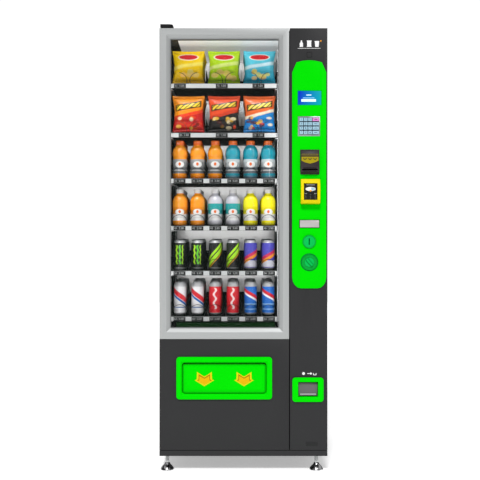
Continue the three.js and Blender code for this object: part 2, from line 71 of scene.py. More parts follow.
FRONT = box("door_frame")[0].y                        # the front face of the doors
GLASS_EDGE = Vector((12, 0, 12))                      # the part of the pane that its frame covers
WINDOW_LOW = box("door_glass")[0] + GLASS_EDGE
WINDOW_HIGH = box("door_glass")[1] - GLASS_EDGE
ROOM_LOW = Vector((WINDOW_LOW.x - 13.5, FRONT + 70, 300))
ROOM_HIGH = Vector((WINDOW_HIGH.x + 13, FRONT + 695, WINDOW_HIGH.z + 6))
LANES = 6
LANE_PITCH = 81
FIRST_LANE = box("coil_1")[0].x + 35.25
ROW_COPIES = 5                                        # packs in a lane, one behind another
COIL_RADIUS = 34
WIRE_RADIUS = 1.25
COIL_TIP = FRONT + 162
COIL_LENGTH = 455
COIL_STEPS = 24                                       # points in each turn
COIL_HEIGHT = 38.5                                    # above the tray's underside
COIL_TOP = COIL_HEIGHT + COIL_RADIUS + 1
COIL_PITCHES = {1: 70, 2: 70, 3: 80, 4: 80, 5: 78, 6: 78}
BAG_TIP_ANGLE = 90.0                                  # where a coil's front end points, trays of bags
DRINK_TIP_ANGLE = 200.0                               # and trays of bottles and cans
PACK_HEIGHT = 22.5                                    # where packs stand, above the tray's underside
CAN_LIFT = 2
BAG_SEAT = 26.5
RAIL_HEIGHT = 21
ROOM_LIGHT = 0.30                                     # watts of each light strip in the product room
TOP_LIGHT = 0.15                                      # watts of the light at the back of the ceiling
RAIL_LIGHT = 0.05                                     # watts of the light behind each front rail
SHELF_LIGHT = 0.16                                    # watts of the light under the back of each tray


def lane_x(lane):
    return FIRST_LANE + lane * LANE_PITCH


def link(obj):
    bpy.context.scene.collection.objects.link(obj)
    return obj


# ---------- node materials ----------
class Value:
    """A number or colour in a node tree. Sums and products of numbers add math nodes."""

    def __init__(self, nodes, socket):
        self.nodes = nodes
        self.socket = socket

    def __add__(self, other):
        return self.nodes.math("ADD", self, other)

    def __sub__(self, other):
        return self.nodes.math("SUBTRACT", self, other)

    def __mul__(self, other):
        return self.nodes.math("MULTIPLY", self, other)


class Nodes:
    """Short calls for building one node tree."""

    def __init__(self, name):
        self.material = bpy.data.materials.new(name)
        self.material.use_nodes = True
        self.tree = self.material.node_tree
        self.shader = self.tree.nodes["Principled BSDF"]
        self.coords = self.tree.nodes.new("ShaderNodeTexCoord")
        self.place = Value(self, self.coords.outputs["Object"])

    def feed(self, node, socket, value):
        if isinstance(value, Value):
            self.tree.links.new(value.socket, node.inputs[socket])
        else:
            node.inputs[socket].default_value = value

    def add(self, kind, inputs, output=0, **settings):
        """A node with its settings and inputs. Returns one of its outputs."""
        node = self.tree.nodes.new("ShaderNode" + kind)
        for name, value in settings.items():
            setattr(node, name, value)
        for socket, value in inputs.items():
            self.feed(node, socket, value)
        return Value(self, node.outputs[output])

    def axes(self, coordinate):
        """The separate numbers of the Object or the UV coordinate."""
        split = self.tree.nodes.new("ShaderNodeSeparateXYZ")
        self.tree.links.new(self.coords.outputs[coordinate], split.inputs[0])
        return [Value(self, output) for output in split.outputs]

    def scaled(self, scale):
        return self.add("Mapping", {"Scale": scale, "Vector": self.place})

    def noise(self, scale, detail=3.0, roughness=0.55, vector=None):
        return self.add("TexNoise", {"Scale": scale, "Detail": detail, "Roughness": roughness,
                                     "Vector": vector or self.place}, "Fac")

    def math(self, operation, first, second=0.0, clamp=False):
        return self.add("Math", {0: first, 1: second}, operation=operation, use_clamp=clamp)

    def span(self, value, low, high, to_low=0.0, to_high=1.0):
        return self.add("MapRange", {"Value": value, "From Min": low, "From Max": high, "To Min": to_low,
                                     "To Max": to_high}, "Result")

    def spread(self, value, middle, half):
        """Noise as a number that wanders by half about middle."""
        return self.span(value, 0.3, 0.7, middle - half, middle + half)

    def band(self, value, low, high, edge=0.004):
        return self.span(value, low - edge, low + edge) * self.span(value, high - edge, high + edge, 1.0, 0.0)

    def oval(self, u, v, centre, radii, edge=0.06):
        du = self.math("DIVIDE", u - centre[0], radii[0])
        dv = self.math("DIVIDE", v - centre[1], radii[1])
        return self.span(du * du + dv * dv, 1.0 - edge, 1.0 + edge, 1.0, 0.0)

    def mix(self, fac, first, second):
        return self.add("Mix", {0: fac, 6: first, 7: second}, 2, data_type="RGBA")

    def tint(self, colour, amount, fac):
        """A colour that varies by amount, lighter and darker, with fac."""
        dark = tuple(c * (1 - amount) for c in colour[:3]) + (1,)
        light = tuple(min(1, c * (1 + amount)) for c in colour[:3]) + (1,)
        return self.mix(fac, dark, light)

    def bump(self, height, distance, strength=1.0):
        bump = self.add("Bump", {"Strength": strength, "Distance": distance, "Height": height})
        self.feed(self.shader, "Normal", bump)

    def glow(self, colour, strength):
        self.feed(self.shader, "Emission Color", colour)
        self.feed(self.shader, "Emission Strength", strength)
        return self.material

    def finish(self, colour, roughness, metallic=0.0, specular=0.5):
        self.feed(self.shader, "Base Color", colour)
        self.feed(self.shader, "Roughness", roughness)
        self.feed(self.shader, "Metallic", metallic)
        self.feed(self.shader, "Specular IOR Level", specular)
        return self.material


def rgb(red, green, blue):
    """A linear colour from sRGB values of 0 to 255."""
    def linear(value):
        value /= 255
        return value / 12.92 if value <= 0.04045 else ((value + 0.055) / 1.055) ** 2.4
    return (linear(red), linear(green), linear(blue), 1)


def powder_coat(name, colour, roughness=0.5, specular=0.3):
    """Baked powder paint: a fine orange peel, faint cloudiness and slow sheen changes."""
    n = Nodes(name)
    speck = n.noise(900, 2)
    n.bump(n.noise(520, 2) + speck * 0.5, 0.00006, 0.5)
    return n.finish(n.tint(colour, 0.12, n.noise(3.5, 4) * 0.6 + speck * 0.4),
                    n.spread(n.noise(14, 5), roughness, 0.06), 0.0, specular)


def moulded(name, colour, roughness=0.4, specular=0.3, grain=420, depth=0.00004, vary=0.05):
    """Injection-moulded plastic with a fine spark-eroded grain."""
    n = Nodes(name)
    n.bump(n.noise(grain, 3), depth, 0.4)
    return n.finish(n.tint(colour, vary, n.noise(5, 4) * 0.7 + n.noise(700, 2) * 0.3),
                    n.spread(n.noise(24, 4), roughness, 0.05), 0.0, specular)


def brushed(name, colour, stretch, roughness=0.36, metallic=0.6, vary=0.05):
    """Metal with a brushed line. stretch is long across the lines and short along them."""
    n = Nodes(name)
    lines = n.noise(1.0, 4, 0.7, n.scaled(stretch))
    n.bump(lines, 0.00003, 0.35)
    return n.finish(n.tint(colour, vary, lines * 0.7 + n.noise(4, 3) * 0.3), n.spread(lines, roughness, 0.07),
                    metallic, 0.4)


def galvanised(name):
    """Zinc-plated sheet with a faint spangle."""
    n = Nodes(name)
    shade = n.add("TexVoronoi", {"Scale": 140, "Vector": n.place}, "Distance") * 1.2
    n.bump(shade, 0.00004, 0.3)
    return n.finish(n.tint((0.5, 0.51, 0.52, 1), 0.12, shade * 0.5 + n.noise(9, 3) * 0.5),
                    n.span(shade, 0, 0.8, 0.36, 0.5), 0.8, 0.5)


def chrome(name):
    """Polished chrome with painted reflections: upright dark and light streaks painted into its colour."""
    n = Nodes(name)
    streak = n.span(n.noise(1.0, 2, 0.5, n.scaled((70, 70, 2))), 0.42, 0.56)
    # painted reflection: the base colour runs from near black to light grey in upright streaks
    colour = n.mix(streak, (0.05, 0.05, 0.052, 1), (0.66, 0.66, 0.67, 1))
    return n.finish(colour, n.span(n.noise(30, 4), 0.3, 0.7, 0.1, 0.22), 1.0, 0.5)


def glowing(name, colour, strength):
    n = Nodes(name)
    lit = n.tint(colour, 0.03, n.noise(60, 3))
    n.finish(lit, 0.4, 0.0, 0.2)
    return n.glow(lit, strength)


def clear_pane(name):
    """Window glass: nearly clear, with a faint green tint and a very slow ripple."""
    n = Nodes(name)
    n.bump(n.noise(2.5, 2), 0.0004, 0.1)
    n.finish(n.tint((0.08, 0.11, 0.10, 1), 0.05, n.noise(2, 2)), 0.03, 0.0, 0.6)
    n.feed(n.shader, "Alpha", 0.03)
    return n.material


def screen_glow(name, low, high):
    """A lit display that turns from deep blue at the left to cyan at the right."""
    n = Nodes(name)
    x, _, z = n.axes("Object")
    across = n.span(x, low.x * MM, high.x * MM) * 0.95
    up = n.span(z, low.z * MM, high.z * MM) * -0.08
    colour = n.mix(n.math("ADD", across, up, clamp=True), rgb(0, 52, 216), rgb(0, 196, 196))
    colour = n.mix(n.noise(1600, 1) * 0.08, colour, (0, 0, 0, 1))
    n.finish(n.mix(0.97, colour, (0.002, 0.003, 0.006, 1)), 0.3, 0.0, 0.1)
    return n.glow(colour, 0.9)


M = {
    "charcoal": powder_coat("charcoal_paint", rgb(45, 45, 46), 0.5, 0.12),
    "black_case": powder_coat("black_paint", rgb(20, 20, 21), 0.55, 0.16),
    # a slightly darker charcoal for a flat patch low on the column door
    "plate": powder_coat("rating_plate", rgb(37, 37, 38), 0.5, 0.12),
    "tray_black": powder_coat("tray_paint", rgb(9, 9, 10), 0.8, 0.06),
    "silver": brushed("silver_frame", rgb(166, 168, 168), (3, 3, 900), 0.5, 0.42, 0.04),
    "bead": moulded("glazing_bead", rgb(116, 118, 118), 0.55, 0.2),
    "green": moulded("green_plastic", (0.0006, 0.62, 0.0006, 1), 0.45, 0.02),
    "green_flap": moulded("green_flap", (0.0006, 0.62, 0.0006, 1), 0.45, 0.02),
    "teal_green": moulded("deep_green_plastic", rgb(4, 176, 76), 0.35, 0.06),
    # a darker green painted as shade: the lines along the lock's grip and the thin ring round the lock
    "lock_edge_shade": moulded("lock_edge_painted_shade", rgb(2, 122, 44), 0.4, 0.06),
    "ring_green": moulded("ring_green_plastic", rgb(6, 150, 52), 0.4, 0.06),
    # a darker green painted as shade: the shaded groove round the delivery flap and the shaded recess round
    # the display
    "groove_shade_green": moulded("painted_groove_shade", rgb(2, 168, 4), 0.5, 0.03),
    "yellow": moulded("yellow_plastic", rgb(222, 200, 8), 0.4, 0.06),
    "amber": moulded("amber_plastic", rgb(212, 164, 2), 0.4, 0.08),
    # a brown painted as shade: the dark outline round the amber core of each arrow
    "arrow_outline_shade": moulded("arrow_painted_shade", rgb(150, 116, 6), 0.5, 0.08),
    "arrow": moulded("arrow_yellow", rgb(206, 194, 14), 0.42, 0.06),
    "grey_flap": moulded("grey_plastic", rgb(96, 93, 95), 0.5, 0.2),
    "lip_grey": moulded("light_grey_plastic", rgb(150, 146, 150), 0.45, 0.2),
    "reader_black": moulded("reader_black", rgb(22, 20, 20), 0.3, 0.3),
    "acceptor": moulded("acceptor_grey", rgb(48, 43, 45), 0.45, 0.2),
    "acceptor_band": moulded("acceptor_band", rgb(152, 136, 4), 0.4, 0.1),
    "acceptor_shade": moulded("acceptor_shade", rgb(24, 20, 21), 0.5, 0.15),
    "olive": moulded("acceptor_olive", rgb(84, 74, 26), 0.5, 0.1),
    "keypad": brushed("keypad_steel", rgb(150, 158, 162), (900, 3, 3), 0.38, 0.55),
    # a dark blue-grey painted as the shade in the gaps between the keys
    "keypad_gap_shade": moulded("keypad_gap_shade", rgb(58, 74, 86), 0.5, 0.2),
    "bar_steel": brushed("return_bar_steel", rgb(182, 178, 178), (3, 3, 900), 0.4, 0.4),
    "key": moulded("key_plastic", rgb(150, 186, 202), 0.35, 0.3, vary=0.12),
    "clear_key": moulded("clear_key_plastic", rgb(212, 132, 196), 0.35, 0.3, vary=0.1),
    "key_mark": moulded("key_mark", rgb(34, 60, 84), 0.5, 0.2),
    "liner": moulded("liner_grey", rgb(200, 200, 200), 0.5, 0.2, 60, 0.0001, 0.04),
    # the ceiling liner glows as painted light: a light grey sheet that shines to stand in for light falling
    # on the ceiling, it is no lamp
    "glowing_ceiling": glowing("ceiling_liner_painted_glow", rgb(206, 208, 208), 0.42),
    "liner_dark": powder_coat("liner_dark", rgb(20, 20, 20), 0.8, 0.06),
    "rubber": moulded("door_seal_rubber", rgb(24, 24, 24), 0.75, 0.2, 800, 0.00008),
    "zinc": galvanised("zinc_steel"),
    "chrome": chrome("chrome_foot"),
    "stem": brushed("foot_stem_steel", rgb(196, 198, 198), (300, 300, 6), 0.35, 0.5),
    "wire": brushed("coil_wire", rgb(30, 30, 31), (300, 300, 300), 0.3, 0.5, 0.15),
    "rail_white": moulded("price_rail_white", rgb(196, 198, 198), 0.4, 0.2),
    "tag_black": moulded("price_tag", rgb(30, 31, 31), 0.35, 0.2),
    "tag_mark": moulded("price_tag_digits", rgb(176, 178, 178), 0.5, 0.1),
    "icon": moulded("icon_print", rgb(226, 226, 226), 0.5, 0.1),
    "icon_orange": moulded("icon_print_orange", rgb(232, 150, 30), 0.5, 0.1),
    "led": glowing("led_strip", (1.0, 0.98, 0.95, 1), 6.0),
    "bar_white": glowing("screen_white", (0.62, 0.86, 0.92, 1), 0.22),
    "bar_dim": glowing("screen_pale", (0.22, 0.5, 0.8, 1), 0.3),
    "board": moulded("circuit_board", rgb(20, 84, 44), 0.4, 0.4, 900, 0.0001, 0.2),
    "copper": brushed("copper_pipe", rgb(184, 108, 72), (300, 300, 300), 0.3, 0.9, 0.1),
    "glass": clear_pane("window_glass"),
    "fin": brushed("fin_aluminium", rgb(150, 152, 154), (4, 4, 600), 0.35, 0.8, 0.1),
    "chute_green": moulded("chute_green", rgb(4, 44, 6), 0.7, 0.04),
    "motor": moulded("motor_housing", rgb(226, 222, 206), 0.5, 0.3),
}


# ---------- meshes ----------
def from_bmesh(name, bm, materials, smooth=True):
    mesh = bpy.data.meshes.new(name)
    bm.to_mesh(mesh)
    bm.free()
    for material in materials:
        mesh.materials.append(material)
    for polygon in mesh.polygons:
        polygon.use_smooth = smooth
    return link(bpy.data.objects.new(name, mesh))


def fixed(obj, body):
    """Fixes a piece to its body."""
    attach(obj, body)
    return obj


def soften(obj, width, segments=2):
    bevel = obj.modifiers.new("edge", "BEVEL")
    bevel.width = width * MM
    bevel.segments = segments
    bevel.limit_method = "ANGLE"
    bevel.angle_limit = math.radians(30)
    bevel.harden_normals = True
    bevel.use_clamp_overlap = True


def dressed(node, body, material, width=0.8, segments=2):
    """The CAD node's shape, with its triangles merged into faces and its edges rounded."""
    bm = bmesh.new()
    bm.from_mesh(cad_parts[node].data)
    bmesh.ops.remove_doubles(bm, verts=bm.verts, dist=1e-6)
    bmesh.ops.dissolve_limit(bm, angle_limit=math.radians(0.5), verts=bm.verts, edges=bm.edges)
    obj = from_bmesh(node + "_skin", bm, [material])
    soften(obj, width, segments)
    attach(obj, body)
    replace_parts(obj, node)


def cut_edges(bm, edges, width):
    bmesh.ops.bevel(bm, geom=list(edges), offset=width * MM, segments=2, affect="EDGES", profile=0.6)


def blocks(name, body, materials, items, bevel=0.0):
    """One piece made of several blocks: items are (low, high) or (low, high, material number)."""
    bm = bmesh.new()
    for low, high, *number in items:
        low, high = at(*low), at(*high)
        made = bmesh.ops.create_cube(bm, size=1.0, matrix=Matrix.Translation((low + high) / 2)
                                     @ Matrix.Diagonal((*(high - low), 1)))
        for face in {face for vert in made["verts"] for face in vert.link_faces}:
            face.material_index = number[0] if number else 0
        if bevel:
            cut_edges(bm, {edge for vert in made["verts"] for edge in vert.link_edges}, bevel)
    return fixed(from_bmesh(name, bm, materials, smooth=False), body)


def add_lathe(bm, profile, centre, axis="Z", segments=32, uv=None):
    """A profile of (radius, height) turned about an axis through centre, added to bm."""
    turn = {"Z": Matrix.Identity(3), "Y": Matrix.Rotation(math.radians(90), 3, "X")}[axis]
    low = profile[0][1]
    tall = profile[-1][1] - low

    def vert(x, y, z):
        return bm.verts.new((Vector(centre) + turn @ Vector((x, y, z))) * MM)

    rings = []
    for radius, height in profile:
        angles = [2 * math.pi * step / segments for step in range(segments)]
        if radius:
            rings.append([vert(radius * math.sin(angle), -radius * math.cos(angle), height)
                          for angle in angles])
        else:
            rings.append([vert(0, 0, height)] * segments)
    for row, (lower, upper) in enumerate(zip(rings, rings[1:])):
        for step in range(segments):
            after = (step + 1) % segments
            corners = {}
            for corner, place in ((lower[step], (step, row)), (lower[after], (step + 1, row)),
                                  (upper[after], (step + 1, row + 1)), (upper[step], (step, row + 1))):
                corners.setdefault(corner, place)
            if len(corners) < 3:
                continue
            face = bm.faces.new(list(corners))
            face.smooth = True
            if uv:
                for loop, (column, level) in zip(face.loops, corners.values()):
                    loop[uv].uv = (column / segments, (profile[level][1] - low) / tall)


def split_sharp(obj, angle=38):
    """Keeps edges sharper than angle crisp on a smooth-shaded mesh."""
    bm = bmesh.new()
    bm.from_mesh(obj.data)
    for edge in bm.edges:
        if len(edge.link_faces) == 2 and edge.calc_face_angle(0) > math.radians(angle):
            edge.smooth = False
    bm.to_mesh(obj.data)
    bm.free()


def lathe(name, body, material, profile, centre, axis="Z"):
    bm = bmesh.new()
    add_lathe(bm, profile, centre, axis, 48)
    obj = from_bmesh(name, bm, [material])
    split_sharp(obj)
    return fixed(obj, body)


def meshed(curve):
    """The mesh of a curve or text, which is then removed."""
    maker = link(bpy.data.objects.new(curve.name, curve))
    mesh = bpy.data.meshes.new_from_object(maker.evaluated_get(bpy.context.evaluated_depsgraph_get()))
    bpy.data.objects.remove(maker)
    bpy.data.curves.remove(curve)
    return mesh


def tube(name, body, material, paths, radius):
    """Wires or pipes that follow paths, lists of points, as one mesh."""
    curve = bpy.data.curves.new(name, "CURVE")
    curve.dimensions = "3D"
    curve.bevel_depth = radius * MM
    curve.bevel_resolution = 3
    curve.use_fill_caps = True
    for path in paths:
        spline = curve.splines.new("POLY")
        spline.points.add(len(path) - 1)
        for point, place in zip(spline.points, path):
            point.co = (*at(*place), 1)
    mesh = meshed(curve)
    mesh.materials.clear()
    mesh.materials.append(material)
    for polygon in mesh.polygons:
        polygon.use_smooth = True
    return fixed(link(bpy.data.objects.new(name, mesh)), body)


def bridge(bm, first, second):
    """Faces between two closed rings of equally many points."""
    for step in range(len(first)):
        after = (step + 1) % len(first)
        bm.faces.new((first[step], first[after], second[after], second[step]))


def slabs(name, material, outlines, back_y, near_y, bevel=0.0):
    """Flat shapes seen from the front. back_y and near_y give the two faces' y at a height z."""
    bm = bmesh.new()
    for outline in outlines:
        back = [bm.verts.new(at(x, back_y(z), z)) for x, z in outline]
        near = [bm.verts.new(at(x, near_y(z), z)) for x, z in outline]
        bm.faces.new(list(reversed(back)))
        top = bm.faces.new(near)
        bridge(bm, back, near)
        if bevel:
            cut_edges(bm, top.edges, bevel)
    bmesh.ops.recalc_face_normals(bm, faces=bm.faces)
    return from_bmesh(name, bm, [material], smooth=False)


def raised(name, body, material, outlines, face_y, height, bevel=0.0):
    """Flat shapes that stand out by height from the plane y = face_y."""
    return fixed(slabs(name, material, outlines, lambda z: face_y, lambda z: face_y - height, bevel), body)


def border(name, body, material, outer, inner, face_y, height, bevel=0.0):
    """A flat frame between two outlines with equally many points, standing out from y = face_y."""
    bm = bmesh.new()
    rings = [
        [bm.verts.new(at(x, y, z)) for x, z in outline]
        for outline, y in ((outer, face_y), (outer, face_y - height),
                           (inner, face_y - height), (inner, face_y))
    ]
    for first, second in zip(rings, rings[1:] + rings[:1]):
        bridge(bm, first, second)
    bmesh.ops.recalc_face_normals(bm, faces=bm.faces)
    obj = from_bmesh(name, bm, [material], smooth=False)
    if bevel:
        soften(obj, bevel)
    return fixed(obj, body)


def oval(x, z, wide, tall, steps, start=0.0, end=360.0):
    """An ellipse's outline, or with start and end, in degrees, a part of it."""
    return [
        (x + wide * math.cos(math.radians(turn)), z + tall * math.sin(math.radians(turn)))
        for turn in (start + (end - start) * i / steps for i in range(steps + (end - start < 360)))
    ]


def rectangle(left, base, right, top):
    return [(left, base), (right, base), (right, top), (left, top)]


def rounded(left, base, right, top, radius):
    """A rectangle's outline with round corners."""
    corners = ((right - radius, base + radius, -90), (right - radius, top - radius, 0),
               (left + radius, top - radius, 90), (left + radius, base + radius, 180))
    return [point for x, z, turn in corners for point in oval(x, z, radius, radius, 6, turn, turn + 90)]


def inset(low, high, edge, radius):
    """The outline of a box's front, moved inwards by edge, with round corners."""
    return rounded(low.x + edge, low.z + edge, high.x - edge, high.z - edge, radius)


def lettering(name, body, material, items, face_y, size):
    """Digits in the built-in font: items are (text, x, z) with the middle of each text."""
    bm = bmesh.new()
    for text, x, z in items:
        curve = bpy.data.curves.new(name, "FONT")
        curve.body = text
        curve.size = size * MM
        curve.align_x = "CENTER"
        curve.align_y = "CENTER"
        curve.resolution_u = 2
        mesh = meshed(curve)
        mesh.transform(Matrix.Translation(at(x, face_y - 0.3, z)) @ Matrix.Rotation(math.radians(90), 4, "X"))
        bm.from_mesh(mesh)
        bpy.data.meshes.remove(mesh)
    for face in bm.faces:
        face.material_index = 0
    return fixed(from_bmesh(name, bm, [material], smooth=False), body)


# ---------- camera, lights and floor ----------
def towards(direction):
    return Vector(direction).to_track_quat("-Z", "Y").to_euler()


def strip_light(name, place, aim, size, power):
    data = bpy.data.lights.new(name, "AREA")
    data.shape = "RECTANGLE"
    data.size, data.size_y = (side * MM for side in size)
    data.energy = power
    light = link(bpy.data.objects.new(name, data))
    light.location = at(*place)
    light.rotation_euler = towards(at(*aim) - at(*place))


def room_lights():
    low, high = ROOM_LOW, ROOM_HIGH
    front = FRONT + 90
    height = (low.z + 320 + high.z) / 2
    for side, x, inward in (("left", low.x + 5, 100), ("right", high.x - 5, -100)):
        strip_light(f"room_light_{side}", (x, front, height), (x + inward, front + 200, height),
                    (9, high.z - 640), ROOM_LIGHT)
    x = (low.x + high.x) / 2
    strip_light("room_light_top", (x, front, high.z - 6), (x, FRONT + 400, high.z - 300),
                (420, 14), ROOM_LIGHT / 2)
    strip_light("shelf_light_0", (x, high.y - 42, high.z - 8), (x, high.y, high.z - 68), (440, 14), TOP_LIGHT)
    for number in range(1, 6):
        tray = box(f"tray_{number}")[0]
        under = tray.z - 3
        strip_light(f"shelf_light_{number}", (x, high.y - 42, under), (x, high.y, under - 60),
                    (440, 14), SHELF_LIGHT)
        strip_light(f"rail_light_{number}", (x, tray.y + 14, under), (x, tray.y + 74, under - 60),
                    (440, 8), RAIL_LIGHT)


def studio():
    scene = bpy.context.scene
    camera = link(bpy.data.objects.new("camera", bpy.data.cameras.new("camera")))
    camera.data.lens = 76.15
    camera.data.sensor_width = 36
    camera.data.shift_y = -0.0375
    camera.location = at(-15, FRONT - 4442, 1092)
    camera.rotation_euler = (math.radians(90), 0, 0)
    scene.camera = camera

    world = bpy.data.worlds.new("studio")
    scene.world = world
    world.use_nodes = True
    tree = world.node_tree
    path = tree.nodes.new("ShaderNodeLightPath")
    choose = tree.nodes.new("ShaderNodeMixShader")
    tree.links.new(path.outputs["Is Camera Ray"], choose.inputs[0])
    tree.links.new(choose.outputs[0], tree.nodes["World Output"].inputs[0])
    # what lights the machine, and the white paper behind it
    for socket, strength in ((1, 0.44), (2, 1.05)):
        paper = tree.nodes.new("ShaderNodeBackground")
        paper.inputs["Color"].default_value = (1, 1, 1, 1)
        paper.inputs["Strength"].default_value = strength
        tree.links.new(paper.outputs[0], choose.inputs[socket])

    sun = link(bpy.data.objects.new("softbox", bpy.data.lights.new("softbox", "SUN")))
    sun.data.energy = 2.5
    sun.data.angle = math.radians(12)
    sun.rotation_euler = towards((0.1, 1.0, -1.05))
    room_lights()

    bm = bmesh.new()
    bmesh.ops.create_grid(bm, x_segments=8, y_segments=8, size=9)
    n = Nodes("studio_floor")
    white = n.tint((0.93, 0.93, 0.93, 1), 0.01, n.noise(2, 3))
    n.finish(white, 0.7, 0.0, 0.1)
    from_bmesh("studio_floor", bm, [n.glow(white, 0.42)], smooth=False)
    scene.view_settings.view_transform = "Standard"


# ---------- cabinet ----------
def cabinet():
    for node, look, width in (
        ("cabinet_shell", "charcoal", 1.2), ("rear_air_panel", "charcoal", 0.6), ("plinth", "charcoal", 1.0),
        ("top_hinge_bracket", "black_case", 1.0), ("delivery_bin", "black_case", 0.6),
        ("tray_rails_left", "zinc", 0.5), ("tray_rails_right", "zinc", 0.5),
    ):
        dressed(node, "cabinet", M[look], width)

    thin = 0.8
    low, high = ROOM_LOW, ROOM_HIGH
    rail = box("tray_rails_left")[0].x + 3.5
    blocks("liner_back", "cabinet", [M["liner"]], [
        ((low.x + 1, high.y - 2 * thin, 604), (high.x - 1, high.y - thin, high.z - 2)),
    ])
    blocks("liner_back_ribs", "cabinet", [M["liner"]], [
        ((x, high.y - 4, 640), (x + 4, high.y - 2 * thin, 1860))
        for x in (low.x + 40 + 70 * rib for rib in range(7))
    ], 0.8)
    # the ceiling liner, glowing with painted light in place of the light falling on it
    blocks("liner_ceiling", "cabinet", [M["glowing_ceiling"]], [
        ((low.x + 42, low.y + 6, high.z - thin - 0.2), (high.x - 1, high.y - 2, high.z - 0.2)),
    ])
    blocks("liner_sides", "cabinet", [M["liner_dark"]], [
        ((x, low.y + 8, 304), (x + 0.2, high.y - 2, high.z - 3)) for x in (low.x + 0.05, high.x - 0.25)
    ])
    blocks("led_strips", "cabinet", [M["led"], M["zinc"]], [
        item
        for x in (low.x + 0.6, high.x - 6.6)
        for item in (
            ((x, low.y + 8, 640), (x + 6, low.y + 14, 1880), 1),
            ((x + 1, low.y + 14, 650), (x + 5, low.y + 16, 1870), 0),
        )
    ])
    base = box("tray_6")[0].z
    blocks("chute_panel", "cabinet", [M["chute_green"]], [
        ((low.x + 30, FRONT + 156, base - 42), (high.x - 26, FRONT + 157.5, base - 3)),
    ], 0.4)
    blocks("upright_slots", "cabinet", [M["black_case"]], [
        ((rail, FRONT + 570, z), (rail + 0.4, FRONT + 580, z + 14)) for z in range(640, 640 + 34 * 36, 36)
    ])


def feet():
    for side in ("front_left", "front_right", "rear_left", "rear_right"):
        node = f"foot_{side}"
        mid = middle(node)
        bell = [
            (0, 0), (28.5, 0), (30.2, 1.0), (30.5, 2.6), (29.9, 5), (28, 8.4), (25, 12.4), (21, 16.8),
            (17.4, 20.4), (14.6, 23), (13.4, 25.4), (12.2, 28.4), (10.6, 30.2), (7.6, 30.8), (0, 31.2),
        ]
        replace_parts(lathe(f"{node}_bell", node, M["chrome"], bell, (mid.x, mid.y, 0)), node)
        stem = [(0, 29), (7.6, 29), (8.0, 29.6), (8.0, 40)]
        height = 40.5
        while height < 84.5:
            stem += [(7.95, height), (7.6, height + 0.7)]
            height += 1.4
        stem += [(7.2, 86.4), (0, 87)]
        lathe(f"{node}_stem", node, M["stem"], stem, (mid.x, mid.y, 0))


# ---------- main door ----------
def main_door():
    dressed("door_frame", "main_door", M["silver"], 1.6, 3)
    dressed("door_shell", "main_door", M["charcoal"], 1.2)
    dressed("door_gasket", "main_door", M["rubber"], 2.5, 3)
    dressed("delivery_bezel", "main_door", M["green"], 1.8, 3)
    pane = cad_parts["door_glass"]
    pane.data.materials.clear()
    pane.data.materials.append(M["glass"])

    bead, gap = 2.4, 0.3
    near, far = FRONT + 9, FRONT + 13.6
    low, high = WINDOW_LOW, WINDOW_HIGH
    blocks("glazing_bead", "main_door", [M["bead"]], [
        ((low.x + gap, near, low.z + gap), (high.x - gap, far, low.z + bead)),
        ((low.x + gap, near, high.z - bead), (high.x - gap, far, high.z - gap)),
        ((low.x + gap, near, low.z + bead), (low.x + bead, far, high.z - bead)),
        ((high.x - bead, near, low.z + bead), (high.x - gap, far, high.z - bead)),
    ], 0.8)


def chevron(x, z, half, tall):
    """A chunky arrow that points down, with a notch in its flat top."""
    return [
        (x, z - tall / 2), (x + half, z - tall * 0.08), (x + half * 0.76, z - tall * 0.02),
        (x + half * 0.76, z + tall / 2), (x, z + tall * 0.16), (x - half * 0.76, z + tall / 2),
        (x - half * 0.76, z - tall * 0.02), (x - half, z - tall * 0.08),
    ]


def delivery():
    dressed("delivery_flap", "delivery_flap", M["green_flap"], 1.2, 3)
    low, high = box("delivery_flap")
    face = low.y
    # painted shade: a darker green ring along the flap's edge, where the groove round it is in shade
    border("flap_groove_shade", "delivery_flap", M["groove_shade_green"],
           inset(low, high, 0.3, 11.6), inset(low, high, 6.5, 7), face + 0.3, 0.9, 0.3)
    pan = 16
    raised("flap_pan", "delivery_flap", M["green"],
           [rounded(low.x + pan, low.z + pan - 2, high.x - pan, high.z - pan + 4, 8)],
           face + 0.3, 1.6, 1.2)
    for number, x in enumerate((-171, 2.6), 1):
        # each arrow is a yellow arrow, a brown outline of painted shade and an amber core on top
        for part, look, z, half, tall, lift, height, bevel in (
            ("arrow", "arrow", 404, 43, 64, 1.1, 1.6, 0.9),
            ("arrow_painted_shade", "arrow_outline_shade", 403, 33, 46, 2.4, 0.7, 0.2),
            ("arrow_core", "amber", 399.5, 29, 38, 2.8, 0.8, 0.4),
        ):
            raised(f"flap_{part}_{number}", "delivery_flap", M[look], [chevron(x, z, half, tall)],
                   face - lift, height, bevel)


# ---------- column door ----------
def column_door():
    for node, look, width, segments in (
        ("column_panel", "charcoal", 1.2, 2), ("column_fascia", "green", 2.2, 3),
        ("bill_acceptor", "acceptor", 1.2, 2), ("coin_slot_disc", "teal_green", 1.4, 3),
        ("coin_cup", "green", 1.8, 3), ("coin_cup_flap", "grey_flap", 0.8, 2),
        ("coin_return_bar", "bar_steel", 1.0, 2), ("keypad_body", "keypad", 0.6, 2),
        ("card_reader", "yellow", 2.4, 3), ("lock_handle", "teal_green", 1.2, 3),
    ):
        body = node if node in ("coin_cup_flap", "coin_return_bar", "lock_handle") else "column_door"
        dressed(node, body, M[look], width, segments)

    cover_low, cover_high = Vector((277, 0, 1812.5)), Vector((300, 0, 1835.5))
    inside = inset(cover_low, cover_high, 1.8, 2)
    border("sensor_rim", "column_door", M["black_case"], inset(cover_low, cover_high, 0, 3), inside,
           FRONT, 1.0, 0.3)
    raised("sensor_cover", "column_door", M["charcoal"], [inside], FRONT, 0.6, 0.2)
    # a slightly darker flat patch, low on the column door
    raised("rating_plate", "column_door", M["plate"], [rounded(273, 112, 325, 130, 3)], FRONT, 0.4, 0.2)
    header_icons(middle("column_fascia").x)
    display_face()
    keypad_keys()
    acceptor_details()
    reader_details()
    disc_details()
    cup_details()


